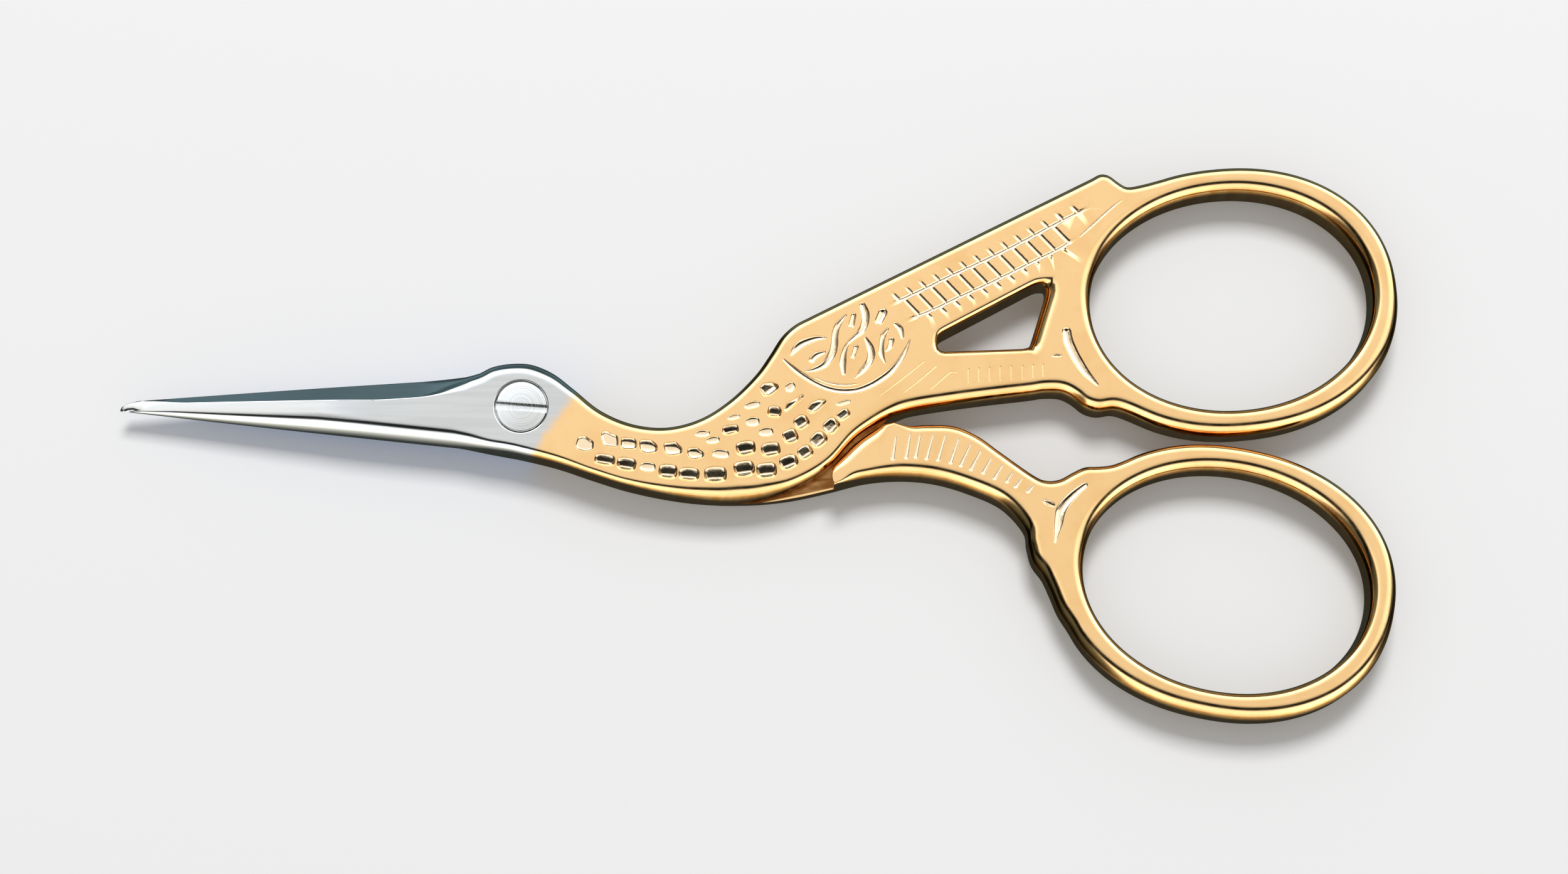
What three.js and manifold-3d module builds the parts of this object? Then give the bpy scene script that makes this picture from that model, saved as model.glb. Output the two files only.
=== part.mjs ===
// Stork embroidery scissors: two forged halves, lapped at half thickness and held by one slotted screw.
// Millimetres. The origin is on the screw's axis, on the plane that the closed scissors rest on.
// +X runs from the screw to the finger rings, +Y to the front half's ring, +Z out of the front face.
import * as THREE from "three";
import { mergeVertices } from "three/addons/utils/BufferGeometryUtils.js";
import Module from "manifold-3d";

const wasm = await Module();
wasm.setup();

// Stock: both halves are forged to one thickness and share it equally where they lap.
const THICKNESS = 4.6;
const LAP_GAP = 0.06;
const STEP_GAP = 0.4;
const STEP_LEDGE = 1.0;
const EDGE_RADIUS = 1.0;

// Blades, measured from the screw's axis
const BLADE_LENGTH = 36.3;
const BLADE_HEEL = 5.2;
const EDGE_RISE = 2.97;
const SPINE_DROP = 3.45;
const TIP_LOW = 0.03;
const TIP_WIDTH = 0.8;
const TIP_BLUNT = 1.55;
const TIP_TURNS = [0, 40, 65];
const TAPER_START = 15.5;
const TIP_THICKNESS = 0.22;
const BEVEL_WIDTH = 1.9;
const BEVEL_RUNOUT = 4.5;
const EDGE_LAND = 0.15;
const BLADE_CAMBER = 0.06;
const OVERHANG = 0.15;
const EDGE_SHARE = 0.34;

// Screw
const SCREW_HEAD_RADIUS = 2.3;
const SCREW_HEAD_HEIGHT = 1.2;
const SCREW_CROWN = 0.15;
const SHANK_RADIUS = 1.25;
const THREAD_RADIUS = 1.1;
const SLOT_WIDTH = 0.8;
const SLOT_DEPTH = 0.6;
const SLOT_ANGLE = -4;
const HEAD_CLEARANCE = 0.12;
const SEAT_CLEARANCE = 0.05;
const SHANK_CLEARANCE = 0.05;
const THREAD_CLEARANCE = 0.03;

// Finger rings: a nearly elliptical hole, with a band of even width round it
const HOLE_LENGTH = 25.6;
const FRONT_HOLE_HEIGHT = 20.3;
const BACK_HOLE_HEIGHT = 19.75;
const HOLE_SQUARENESS = 2.04;
const BAND_WIDTH = 2.25;
const BAND_SQUARENESS = 2.17;
const RING_GAP = 0.8;
const RING_MEETING_Y = -2.95;
const FRONT_RING_START = 48.9;
const BACK_RING_START = 47.75;
const FRONT_RING_TILT = 5.5;
const BACK_RING_TILT = -11.5;

// The stretch of each band that is free of the body or leg, in degrees round the ring
const FRONT_BAND_ANGLES = [239, 467];
const BACK_BAND_ANGLES = [218, 489];

// The bird's window, between its wing and its tail, has this corner radius.
const WINDOW_CORNER = 0.7;

// Fineness of the faceted curves
const ROUND_STEPS = 3;
const RING_STEPS = 60;
const SPAN_STEPS = 3;
const SCREW_SIDES = 48;

const LAYER = (THICKNESS - LAP_GAP) / 2;
const rad = THREE.MathUtils.degToRad;
const at = (x, y) => new THREE.Vector2(x, y);

// Outline of the head round the screw. Both halves share it, apart from the heels of their blades.
const HEAD_UNDER = [[-1.6, -3.92], [0, -4.22]];
const HEAD_OVER = [[4.65, 1.74], [2.8, 3.2], [0.9, 4.03], [-0.9, 4.15], [-2.7, 3.84]];
const FRONT_HEEL = [[-4.2, 3.17]];
const BACK_HEEL = [[-3.2, -3.63]];

// Outline of the neck and body, from the head to the body's lower right corner
const NECK_UNDER = [[3.1, -4.98], [6.1, -5.98], [9.1, -6.94], [12.2, -7.69], [15.3, -8.2], [18.4, -8.43]];
const BREAST = [[21.6, -8.1], [24.9, -6.98], [27.6, -5.25], [29.8, -2.85], [31.9, -1.4]];
const LINK_UNDER = [[34.5, -0.35], [38.2, 0.31], [42, 0.82], [45.6, 1.24]];
const SHOULDER = [[25.9, 8.38], [24.5, 7.62], [23.3, 6.5]];
const NECK_OVER = [[22.2, 4.75], [20.9, 2.9], [18.7, 0.7], [16.1, -1], [13.1, -1.8], [10, -1.5], [7.1, -0.25]];

// Outline of the back half where it differs: the body under the front half, and the leg
const BODY_UNDER = [[21.6, -8.33], [24.7, -7.86], [27.7, -7.17], [30.8, -6.4], [33.9, -6.19]];
const LEG_UNDER = [[37, -6.46], [40, -7.33], [43, -8.72]];
const LEG_OVER = [[42.9, -4.07], [40.9, -2.61], [38.7, -1.68], [36.2, -1.58], [33.9, -1.62]];
const BODY_OVER = [[31.4, -0.4], [28.6, 1.15], [25.6, 2.05], [22.7, 2.1], [20.3, 1.3], [18.5, 0.3]];

// Near its ring each outline is given by places round the ring, in degrees, and distances out from the band.
const LINK_ANGLES = [202.3, 205.2, 209.2, 213.9, 218.2, 222, 226.5, 234];
const LINK_OUT = [4.1, 2.86, 2.3, 2.07, 1.5, 0.55, 0.15, 0];
const TAIL_ANGLES = [114.2, 119.4, 121.2, 122.7, 124.8, 128];
const TAIL_OUT = [0.2, 0.62, 1.35, 2.4, 2.95, 3.1];
const KNOB_ANGLES = [176.3, 180.9, 185.9, 190.7, 196.8, 205, 213];
const KNOB_OUT = [3.4, 2.74, 2.13, 1.17, 0.62, 0.3, 0];
const NOTCH_ANGLES = [134, 139.6, 144.3, 148.3, 153, 157.3, 160.2, 161];
const NOTCH_OUT = [0, 0.21, 0.79, 1.51, 1.95, 2.4, 3.29, 4.6];
const WINDOW_ANGLES = [165.5, 188.5];
const WINDOW_OUT = [1.35, 3.85];
const WINDOW_LEFT = [[37.3, 5.1], [37.4, 6.65]];

// One finger ring. Its centre follows from the hole and the band, so the rings keep their gap.
function makeRing(holeHeight, tilt, startX, side) {
  const ring = { holeHeight, tilt: rad(tilt), centre: at(0, 0) };
  const loop = [];
  for (let i = 0; i < RING_STEPS; i++) loop.push(bandPoint(ring, (360 * i) / RING_STEPS, 0));
  const reachX = Math.max(...loop.map((p) => p.x));
  const reachY = Math.max(...loop.map((p) => p.y));
  ring.centre.set(startX + reachX, RING_MEETING_Y + side * (RING_GAP / 2 + reachY));
  return ring;
}

// A point of a squared ellipse, turned and placed with its ring
function ovalPoint(ring, halfLength, halfHeight, squareness, angle) {
  const c = Math.cos(rad(angle));
  const s = Math.sin(rad(angle));
  const x = halfLength * Math.sign(c) * Math.abs(c) ** (2 / squareness);
  const y = halfHeight * Math.sign(s) * Math.abs(s) ** (2 / squareness);
  return at(x, y).rotateAround(at(0, 0), ring.tilt).add(ring.centre);
}

function holePoint(ring, angle) {
  return ovalPoint(ring, HOLE_LENGTH / 2, ring.holeHeight / 2, HOLE_SQUARENESS, angle);
}

// A point on the band's outer edge, or some distance out from it along its normal
function bandPoint(ring, angle, out) {
  const edge = (a) =>
    ovalPoint(ring, HOLE_LENGTH / 2 + BAND_WIDTH, ring.holeHeight / 2 + BAND_WIDTH, BAND_SQUARENESS, a);
  const along = edge(angle + 0.5).sub(edge(angle - 0.5)).normalize();
  return edge(angle).add(at(along.y, -along.x).multiplyScalar(out));
}

const frontRing = makeRing(FRONT_HOLE_HEIGHT, FRONT_RING_TILT, FRONT_RING_START, 1);
const backRing = makeRing(BACK_HOLE_HEIGHT, BACK_RING_TILT, BACK_RING_START, -1);

// The pieces of an outline
const listed = (points) => points.map(([x, y]) => at(x, y));
const nearRing = (ring, angles, out) => angles.map((angle, i) => bandPoint(ring, angle, out[i]));

function smooth(points) {
  return new THREE.SplineCurve(points).getPoints((points.length - 1) * SPAN_STEPS);
}

function bandArc(ring, [from, to]) {
  const count = Math.round(((to - from) / 360) * RING_STEPS);
  return Array.from({ length: count + 1 }, (_, i) => bandPoint(ring, from + ((to - from) * i) / count, 0));
}

// A rounded corner between two straight sides
function corner(before, tip, after, radius) {
  const a = before.clone().sub(tip).normalize();
  const b = after.clone().sub(tip).normalize();
  const reach = radius / Math.tan(Math.acos(a.dot(b)) / 2);
  const start = tip.clone().addScaledVector(a, reach);
  const end = tip.clone().addScaledVector(b, reach);
  return new THREE.QuadraticBezierCurve(start, tip, end).getPoints(ROUND_STEPS);
}

// Edge shapes: how far each level of the edge lies in from the outline, and how far out from the inner face
function roundEdge(radius, height) {
  const levels = [[0, 0]];
  for (let i = 0; i <= ROUND_STEPS; i++) {
    const turn = (Math.PI / 2) * (i / ROUND_STEPS);
    levels.push([radius * (1 - Math.cos(turn)), height - radius * (1 - Math.sin(turn))]);
  }
  return levels;
}

function groundEdge(width, height) {
  const levels = [[0, 0]];
  const land = Math.min(EDGE_LAND, height / 2);
  for (let i = 0; i <= ROUND_STEPS; i++) {
    const share = i / ROUND_STEPS;
    levels.push([width * share, land + (height - land) * share]);
  }
  return levels;
}

function mixEdges(a, b, share) {
  return a.map(([inset, out], i) => [
    THREE.MathUtils.lerp(inset, b[i][0], share),
    THREE.MathUtils.lerp(out, b[i][1], share),
  ]);
}

const plainEdge = () => roundEdge(EDGE_RADIUS, LAYER);
const withEdge = (points, edgeAt = plainEdge) => points.map((point) => ({ point, levels: edgeAt(point) }));

// Blade: full thickness as far as TAPER_START, then thinning evenly to the tip
function bladeThickness(x) {
  const share = THREE.MathUtils.clamp((-x - TAPER_START) / (BLADE_LENGTH - TAPER_START), 0, 1);
  return THREE.MathUtils.lerp(LAYER, TIP_THICKNESS, share);
}

function bladeWidth(x) {
  const share = THREE.MathUtils.clamp((BLADE_LENGTH + x) / (BLADE_LENGTH - BLADE_HEEL), 0, 1);
  return THREE.MathUtils.lerp(TIP_WIDTH, EDGE_RISE + SPINE_DROP, share);
}

// Near the tip, the bevel and the spine's rounding each take at most a share of the blade's width.
const edgeRoom = (x) => EDGE_SHARE * (bladeWidth(x) - 2 * OVERHANG);

// The spine is rounded, and its rounding shrinks with the blade.
function spineEdge(point) {
  const thickness = bladeThickness(point.x);
  const radius = Math.min((EDGE_RADIUS * thickness) / LAYER, edgeRoom(point.x));
  return roundEdge(radius, thickness);
}

// The cutting edge is ground to a bevel, which runs out into the head's rounding at the heel.
function cuttingEdge(point) {
  const thickness = bladeThickness(point.x);
  const width = Math.min((BEVEL_WIDTH * thickness) / LAYER, edgeRoom(point.x));
  const runout = THREE.MathUtils.smoothstep(point.x, -BLADE_HEEL - BEVEL_RUNOUT, -BLADE_HEEL + 1);
  return mixEdges(groundEdge(width, thickness), spineEdge(point), runout);
}

// One side of a blade, from near the tip to the heel. Side is 1 for the upper one and -1 for the lower.
function bladeSide(side, inset) {
  const tip = at(-BLADE_LENGTH, side > 0 ? TIP_LOW + TIP_WIDTH - inset : TIP_LOW + inset);
  const heel = at(-BLADE_HEEL, side > 0 ? EDGE_RISE - inset : inset - SPINE_DROP);
  const shareAt = (x) => (BLADE_LENGTH - x) / (BLADE_LENGTH - BLADE_HEEL);
  const stations = [BLADE_LENGTH - TIP_BLUNT, (BLADE_LENGTH + TAPER_START) / 2, TAPER_START];
  stations.push(BLADE_HEEL + BEVEL_RUNOUT, BLADE_HEEL + BEVEL_RUNOUT / 2, BLADE_HEEL);
  return stations.map((x) => {
    const share = shareAt(x);
    const bow = side * BLADE_CAMBER * Math.sin(Math.PI * share);
    return at(THREE.MathUtils.lerp(tip.x, heel.x, share), THREE.MathUtils.lerp(tip.y, heel.y, share) + bow);
  });
}

// The tip is rounded off on the cutting side, which is given, starting at the spine's end.
function bladeTip(side, inset) {
  const start = side > 0 ? TIP_LOW + inset : TIP_LOW + TIP_WIDTH - inset;
  return TIP_TURNS.map((turn) => {
    const x = -BLADE_LENGTH + 3 * inset + TIP_BLUNT * (1 - Math.cos(rad(turn)));
    return at(x, start + side * (TIP_WIDTH - 2 * inset) * Math.sin(rad(turn)));
  });
}

// Lower edge of the front half, from the blade's heel to the ring
function frontUnder() {
  return smooth([
    ...bladeSide(-1, 0).slice(-1),
    ...listed(HEAD_UNDER),
    ...listed(NECK_UNDER),
    ...listed(BREAST),
    ...listed(LINK_UNDER),
    ...nearRing(frontRing, LINK_ANGLES, LINK_OUT),
  ]);
}

// Upper edge of the front half, from the shoulder to the blade's heel
function frontOver() {
  const neckAndHead = smooth([...listed(SHOULDER).slice(-1), ...listed(NECK_OVER), ...listed(HEAD_OVER)]);
  return [...neckAndHead, ...listed(FRONT_HEEL)];
}

const bandAndTail = () => [
  ...bandArc(frontRing, FRONT_BAND_ANGLES),
  ...nearRing(frontRing, TAIL_ANGLES, TAIL_OUT),
];

// The front half's outline, counter-clockwise from the blade's tip
function frontOutline() {
  return [
    ...withEdge([...bladeTip(1, 0).slice(0, 1), ...bladeSide(-1, 0).slice(0, -1)], spineEdge),
    ...withEdge([...frontUnder(), ...bandAndTail(), ...listed(SHOULDER).slice(0, -1)]),
    ...withEdge([...frontOver(), ...bladeSide(1, 0).reverse()], cuttingEdge),
    ...withEdge(bladeTip(1, 0).slice(1).reverse(), cuttingEdge),
  ];
}

// The front half is full thickness from its shoulder to its ring: this is the part behind the inner face.
function frontThickOutline() {
  const step = offset(listed(BODY_OVER).slice(0, 4), -STEP_GAP).reverse();
  const lower = frontUnder().filter((p) => p.x > step.at(-1).x + STEP_LEDGE);
  const upper = frontOver().filter((p) => p.y > step[0].y + STEP_LEDGE && p.x > NECK_OVER[2][0]);
  return withEdge([...lower, ...bandAndTail(), ...listed(SHOULDER).slice(0, -1), ...upper, ...step]);
}

// Lower edge of the back half, from the blade's heel to the ring
function backUnder() {
  return smooth([
    ...listed(BACK_HEEL),
    ...listed(HEAD_UNDER),
    ...listed(NECK_UNDER),
    ...listed(BODY_UNDER),
    ...listed(LEG_UNDER),
    ...nearRing(backRing, KNOB_ANGLES, KNOB_OUT),
  ]);
}

const legOver = () => [...nearRing(backRing, NOTCH_ANGLES, NOTCH_OUT), ...listed(LEG_OVER)];

// The back half's outline: its ring lies below the axis, and its cutting edge is the lower one.
function backOutline() {
  const over = [
    ...listed(BODY_OVER),
    ...offset(listed(NECK_OVER).slice(3), OVERHANG),
    ...offset(listed(HEAD_OVER), OVERHANG),
  ];
  return [
    ...withEdge([...bladeTip(-1, OVERHANG).slice(1), ...bladeSide(-1, OVERHANG)], cuttingEdge),
    ...withEdge(backUnder(), cuttingEdge),
    ...withEdge([...bandArc(backRing, BACK_BAND_ANGLES), ...smooth([...legOver(), ...over])]),
    ...withEdge([...bladeSide(1, OVERHANG).reverse(), ...bladeTip(-1, OVERHANG).slice(0, 1)], spineEdge),
  ];
}

// The back half is full thickness from the step beside the front half's body to its ring.
function backThickOutline() {
  const step = offset(listed(BREAST).slice(2), -STEP_GAP).reverse();
  const under = backUnder().filter((p) => p.x > BODY_UNDER[2][0] - 0.1);
  const tip = under[0];
  const stepEdge = (p) => {
    const share = THREE.MathUtils.smoothstep(p.distanceTo(tip), 0, 3 * EDGE_RADIUS);
    return roundEdge(EDGE_RADIUS * THREE.MathUtils.lerp(0.15, 1, share), LAYER);
  };
  const band = bandArc(backRing, BACK_BAND_ANGLES);
  return withEdge([...under, ...band, ...smooth(legOver()), ...step], stepEdge);
}

// A copy of an open line, moved to its left when the distance is positive
function offset(points, distance) {
  return points.map((point, i) => {
    const before = points[Math.max(i - 1, 0)];
    const after = points[Math.min(i + 1, points.length - 1)];
    const along = after.clone().sub(before).normalize();
    return point.clone().add(at(-along.y, along.x).multiplyScalar(distance));
  });
}

// Holes run clockwise, so that the metal is on the left of every outline.
function fingerHole(ring) {
  const points = [];
  for (let i = RING_STEPS; i > 0; i--) points.push(holePoint(ring, (360 * i) / RING_STEPS));
  return withEdge(points);
}

function birdWindow() {
  const corners = [...listed(WINDOW_LEFT), ...nearRing(frontRing, WINDOW_ANGLES, WINDOW_OUT)];
  const next = (i) => corners[(i + 1) % corners.length];
  return withEdge(corners.flatMap((tip, i) => corner(corners.at(i - 1), tip, next(i), WINDOW_CORNER)));
}

// One layer of a half: a plate with its inner face at height inner, and shaped edges on its outer side.
// Side is 1 for a layer that rises from its inner face and -1 for one that goes down from it.
function layer(outline, holes, inner, side) {
  const loops = [outline, ...holes];
  const levelCount = outline[0].levels.length;
  const positions = [];
  const index = [];
  const firstOf = [];
  for (const loop of loops) {
    firstOf.push(positions.length / 3 / levelCount);
    loop.forEach((vertex, i) => {
      const inward = insetDirection(loop, i);
      for (const [inset, out] of vertex.levels) {
        const p = vertex.point.clone().addScaledVector(inward, inset);
        positions.push(p.x, p.y, inner + side * out);
      }
    });
  }
  const vertexAt = (order, level) => order * levelCount + level;
  const face = (a, b, c) => (side > 0 ? index.push(a, b, c) : index.push(a, c, b));
  loops.forEach((loop, n) => {
    loop.forEach((_, i) => {
      const here = firstOf[n] + i;
      const next = firstOf[n] + ((i + 1) % loop.length);
      for (let level = 0; level < levelCount - 1; level++) {
        face(vertexAt(here, level), vertexAt(next, level), vertexAt(next, level + 1));
        face(vertexAt(here, level), vertexAt(next, level + 1), vertexAt(here, level + 1));
      }
    });
  });
  for (const [level, up] of [[0, false], [levelCount - 1, true]]) {
    const flat = loops.map((loop, n) =>
      loop.map((_, i) => {
        const k = 3 * vertexAt(firstOf[n] + i, level);
        return at(positions[k], positions[k + 1]);
      }),
    );
    const all = flat.flat();
    for (const [a, b, c] of THREE.ShapeUtils.triangulateShape(flat[0], flat.slice(1))) {
      const turn = all[b].clone().sub(all[a]).cross(all[c].clone().sub(all[a]));
      const facesUp = turn > 0 === up;
      const [p, q, r] = [vertexAt(a, level), vertexAt(b, level), vertexAt(c, level)];
      facesUp ? face(p, q, r) : face(p, r, q);
    }
  }
  const geometry = new THREE.BufferGeometry();
  geometry.setAttribute("position", new THREE.Float32BufferAttribute(positions, 3));
  geometry.setIndex(index);
  return geometry;
}

// The way from a vertex into the metal, lengthened at a corner so that the sides keep their inset
function insetDirection(loop, i) {
  const before = loop[(i + loop.length - 1) % loop.length].point;
  const here = loop[i].point;
  const after = loop[(i + 1) % loop.length].point;
  const left = (a, b) => at(a.y - b.y, b.x - a.x).normalize();
  const first = left(before, here);
  const middle = first.clone().add(left(here, after)).normalize();
  return middle.multiplyScalar(1 / Math.max(middle.dot(first), 0.6));
}

// Joining and cutting
function solid(geometry) {
  const bare = geometry.clone();
  bare.deleteAttribute("normal");
  bare.deleteAttribute("uv");
  const merged = mergeVertices(bare, 1e-4);
  return new wasm.Manifold(
    new wasm.Mesh({
      numProp: 3,
      vertProperties: merged.attributes.position.array,
      triVerts: new Uint32Array(merged.index.array),
    }),
  );
}

function geometryOf(manifold) {
  const mesh = manifold.getMesh();
  const geometry = new THREE.BufferGeometry();
  geometry.setAttribute("position", new THREE.BufferAttribute(new Float32Array(mesh.vertProperties), 3));
  geometry.setIndex(new THREE.BufferAttribute(new Uint32Array(mesh.triVerts), 1));
  return geometry;
}

function cylinder(radius, low, high) {
  const geometry = new THREE.CylinderGeometry(radius, radius, high - low, SCREW_SIDES);
  return solid(geometry.rotateX(Math.PI / 2).translate(0, 0, (low + high) / 2));
}

const LOWER_FACE = (THICKNESS - LAP_GAP) / 2;
const UPPER_FACE = (THICKNESS + LAP_GAP) / 2;
const SEAT = THICKNESS - SCREW_HEAD_HEIGHT - SCREW_CROWN;
const BEYOND = 1;

function frontHalf() {
  const holes = [fingerHole(frontRing), birdWindow()];
  const front = solid(layer(frontOutline(), holes, UPPER_FACE, 1));
  const thick = solid(layer(frontThickOutline(), holes, UPPER_FACE, -1));
  const shankBore = cylinder(SHANK_RADIUS + SHANK_CLEARANCE, 0, THICKNESS + BEYOND);
  const headBore = cylinder(SCREW_HEAD_RADIUS + HEAD_CLEARANCE, SEAT - SEAT_CLEARANCE, THICKNESS + BEYOND);
  return front.add(thick).subtract(shankBore).subtract(headBore);
}

function backHalf() {
  const holes = [fingerHole(backRing)];
  const back = solid(layer(backOutline(), holes, LOWER_FACE, -1));
  const thick = solid(layer(backThickOutline(), holes, LOWER_FACE, 1));
  const threadBore = cylinder(THREAD_RADIUS + THREAD_CLEARANCE, -BEYOND, THICKNESS);
  return back.add(thick).subtract(threadBore);
}

function pivotScrew() {
  const top = THICKNESS - SCREW_CROWN;
  const profile = [at(0, 0), at(THREAD_RADIUS, 0), at(THREAD_RADIUS, LOWER_FACE)];
  profile.push(at(SHANK_RADIUS, UPPER_FACE), at(SHANK_RADIUS, SEAT));
  profile.push(at(SCREW_HEAD_RADIUS, SEAT), at(SCREW_HEAD_RADIUS, top));
  for (let i = ROUND_STEPS - 1; i >= 0; i--) {
    const share = i / ROUND_STEPS;
    profile.push(at(SCREW_HEAD_RADIUS * share, top + SCREW_CROWN * (1 - share * share)));
  }
  const turned = new THREE.LatheGeometry(profile, SCREW_SIDES).rotateX(Math.PI / 2);
  const slot = new THREE.BoxGeometry(3 * SCREW_HEAD_RADIUS, SLOT_WIDTH, 2 * SLOT_DEPTH);
  slot.rotateZ(rad(SLOT_ANGLE)).translate(0, 0, THICKNESS);
  return solid(turned).subtract(solid(slot));
}

function piece(name, manifold, colour, roughness) {
  const material = new THREE.MeshStandardMaterial({ color: colour, roughness, metalness: 1 });
  const mesh = new THREE.Mesh(geometryOf(manifold), material);
  mesh.name = name;
  return mesh;
}

const scissors = new THREE.Group();
scissors.add(piece("front_half", frontHalf(), 0xf2c27a, 0.22));
scissors.add(piece("back_half", backHalf(), 0xf2c27a, 0.22));
scissors.add(piece("pivot_screw", pivotScrew(), 0xc4c8c8, 0.3));

export default scissors;
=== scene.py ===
"""Stork embroidery scissors: two gold-plated forged halves with bare steel blades, on one slotted screw.

Everything is worked in millimetres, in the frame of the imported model, and brought to metres at the end.
"""

import math
from functools import partial

import bmesh
import bpy
import numpy as np
from mathutils import Matrix, Vector


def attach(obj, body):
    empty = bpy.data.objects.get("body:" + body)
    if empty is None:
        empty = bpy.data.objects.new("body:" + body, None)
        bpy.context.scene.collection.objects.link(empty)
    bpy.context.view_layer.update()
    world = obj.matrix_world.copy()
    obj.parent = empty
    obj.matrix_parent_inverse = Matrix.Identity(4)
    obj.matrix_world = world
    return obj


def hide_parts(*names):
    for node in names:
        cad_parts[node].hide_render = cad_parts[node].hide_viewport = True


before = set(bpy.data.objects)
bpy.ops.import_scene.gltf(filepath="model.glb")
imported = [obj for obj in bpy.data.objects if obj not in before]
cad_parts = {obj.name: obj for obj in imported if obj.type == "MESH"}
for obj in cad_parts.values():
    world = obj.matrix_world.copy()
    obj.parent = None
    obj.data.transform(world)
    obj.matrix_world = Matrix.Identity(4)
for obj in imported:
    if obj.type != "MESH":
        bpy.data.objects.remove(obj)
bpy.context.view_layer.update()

MM = 0.001

# Stock and edges, as in the part
THICKNESS = 4.6
LAP_GAP = 0.06
LAYER = (THICKNESS - LAP_GAP) / 2
LOWER_FACE = LAYER
UPPER_FACE = LAYER + LAP_GAP

# Blades
BLADE_LENGTH = 36.3
BLADE_HEEL = 5.2
EDGE_RISE = 2.97
SPINE_DROP = 3.45
TIP_LOW = 0.03
TIP_WIDTH = 0.8
TIP_BLUNT = 1.55
TAPER_START = 15.5
TAPER_BLEND = 2.2
SPINE_ROUNDING = 1.5
TIP_THICKNESS = 0.22
BEVEL_WIDTH = 1.9
BEVEL_RUNOUT = 4.5
EDGE_LAND = 0.15
BLADE_CAMBER = 0.06
OVERHANG = 0.15
BLADE_STEPS = 46
TIP_ARC, TIP_STEPS = 72, 9

# Share of a blade's width that each edge may take, how much less at the tip, and where it falls
EDGE_SHARE = 0.4
TIP_SHARE_LOSS = 0.09
TIP_SHARE_PLACES = (31, 34.5)

# Share of a blade's thickness that the rounding of its spine may take
SPINE_SHARE = 0.95

# Near the tip the edges grow from a least share of their size: the share, where it starts, where it is whole
SPINE_FADE = (0.3, -36, -32.5)
BEVEL_FADE = (0.2, -36.3, -30)

# Screw and its bores
HEAD_RADIUS = 2.3
HEAD_HEIGHT = 1.2
CROWN = 0.15
SHANK_RADIUS = 1.25
THREAD_RADIUS = 1.1
SLOT_WIDTH = 0.8
SLOT_DEPTH = 0.6
SLOT_ANGLE = -4
SLOT_CREASE = 0.1
SLOT_SLANT = 0.29
SLOT_SOFTENING = 0.035
RIPPLE_PITCH = 0.21
RIPPLE_HEIGHT = 0.004
SEAT = THICKNESS - HEAD_HEIGHT - CROWN
HEAD_BORE = HEAD_RADIUS + 0.12
SHANK_BORE = SHANK_RADIUS + 0.05
THREAD_BORE = THREAD_RADIUS + 0.03

# Finger rings
HOLE_LENGTH = 25.6
HOLE_SQUARENESS = 2.04
BAND_WIDTH = 2.25
BAND_SQUARENESS = 2.17
RING_GAP = 0.8
RING_MEETING_Y = -2.95
FRONT_BAND = (239, 467)
BACK_BAND = (218, 489)
WINDOW_CORNER = 0.9
WINDOW_ROUNDING = 0.55
WINDOW_WIDE = 1.25

# Outlines, as in the part
HEAD_UNDER = [[-1.6, -3.92], [0, -4.22]]
HEAD_OVER = [[4.65, 1.74], [2.8, 3.2], [0.9, 4.03], [-0.9, 4.15], [-2.7, 3.84]]
FRONT_HEEL = [-4.2, 3.17]
BACK_HEEL = [-3.2, -3.63]
NECK_UNDER = [[3.1, -4.98], [6.1, -5.98], [9.1, -6.94], [12.2, -7.69], [15.3, -8.2], [18.4, -8.43]]
BREAST = [[21.6, -8.1], [24.9, -6.98], [27.6, -5.25], [29.8, -2.85], [31.9, -1.4]]
LINK_UNDER = [[34.5, -0.35], [38.2, 0.31], [42, 0.82], [45.6, 1.24]]
SHOULDER = [[25.9, 8.38], [24.5, 7.62], [23.3, 6.5]]
NECK_OVER = [[22.2, 4.75], [20.9, 2.9], [18.7, 0.7], [16.1, -1], [13.1, -1.8], [10, -1.5], [7.1, -0.25]]
BODY_UNDER = [[21.6, -8.33], [24.7, -7.86], [27.7, -7.17], [30.8, -6.4], [33.9, -6.19]]
LEG_UNDER = [[37, -6.46], [40, -7.33], [43, -8.72]]
LEG_OVER = [[42.9, -4.07], [40.9, -2.61], [38.7, -1.68], [36.2, -1.58], [33.9, -1.62]]
BODY_OVER = [[31.4, -0.4], [28.6, 1.15], [25.6, 2.05], [22.7, 2.1], [20.3, 1.3], [18.5, 0.3]]

# Near its ring an outline is given by degrees round the ring and millimetres out from the band.
LINK = ([202.3, 205.2, 209.2, 213.9, 218.2, 222, 226.5, 234], [4.1, 2.86, 2.3, 2.07, 1.5, 0.55, 0.15, 0])
TAIL = ([114.2, 119.4, 121.2, 122.7, 124.8, 128], [0.2, 0.62, 1.35, 2.4, 2.95, 3.1])
KNOB = ([176.3, 180.9, 185.9, 190.7, 196.8, 205, 213], [3.4, 2.74, 2.13, 1.17, 0.62, 0.3, 0])
NOTCH = ([134, 139.6, 144.3, 148.3, 153, 157.3, 160.2, 161], [0, 0.21, 0.79, 1.51, 1.95, 2.4, 3.29, 4.6])
WINDOW_RIGHT = ([165.5, 188.5], [1.35, 3.85])
WINDOW_LEFT = [[37.3, 5.1], [37.4, 6.65]]

# The straight between the tail and the shoulder: how far from them it starts and ends, and its steps
OFF_TAIL = 0.9
OFF_SHOULDER = 1.6
STRAIGHT_STEP = 0.6

# Fineness: the outline has a vertex about every so many millimetres.
FINE = 0.33
RING_STEPS = 216
HOLE_STEPS = 0.85 * RING_STEPS


# Lines on the plane


def line(points):
    return np.array(points, float).reshape(-1, 2)


def unit(v):
    return v / np.maximum(np.linalg.norm(v, axis=-1, keepdims=True), 1e-12)


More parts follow.
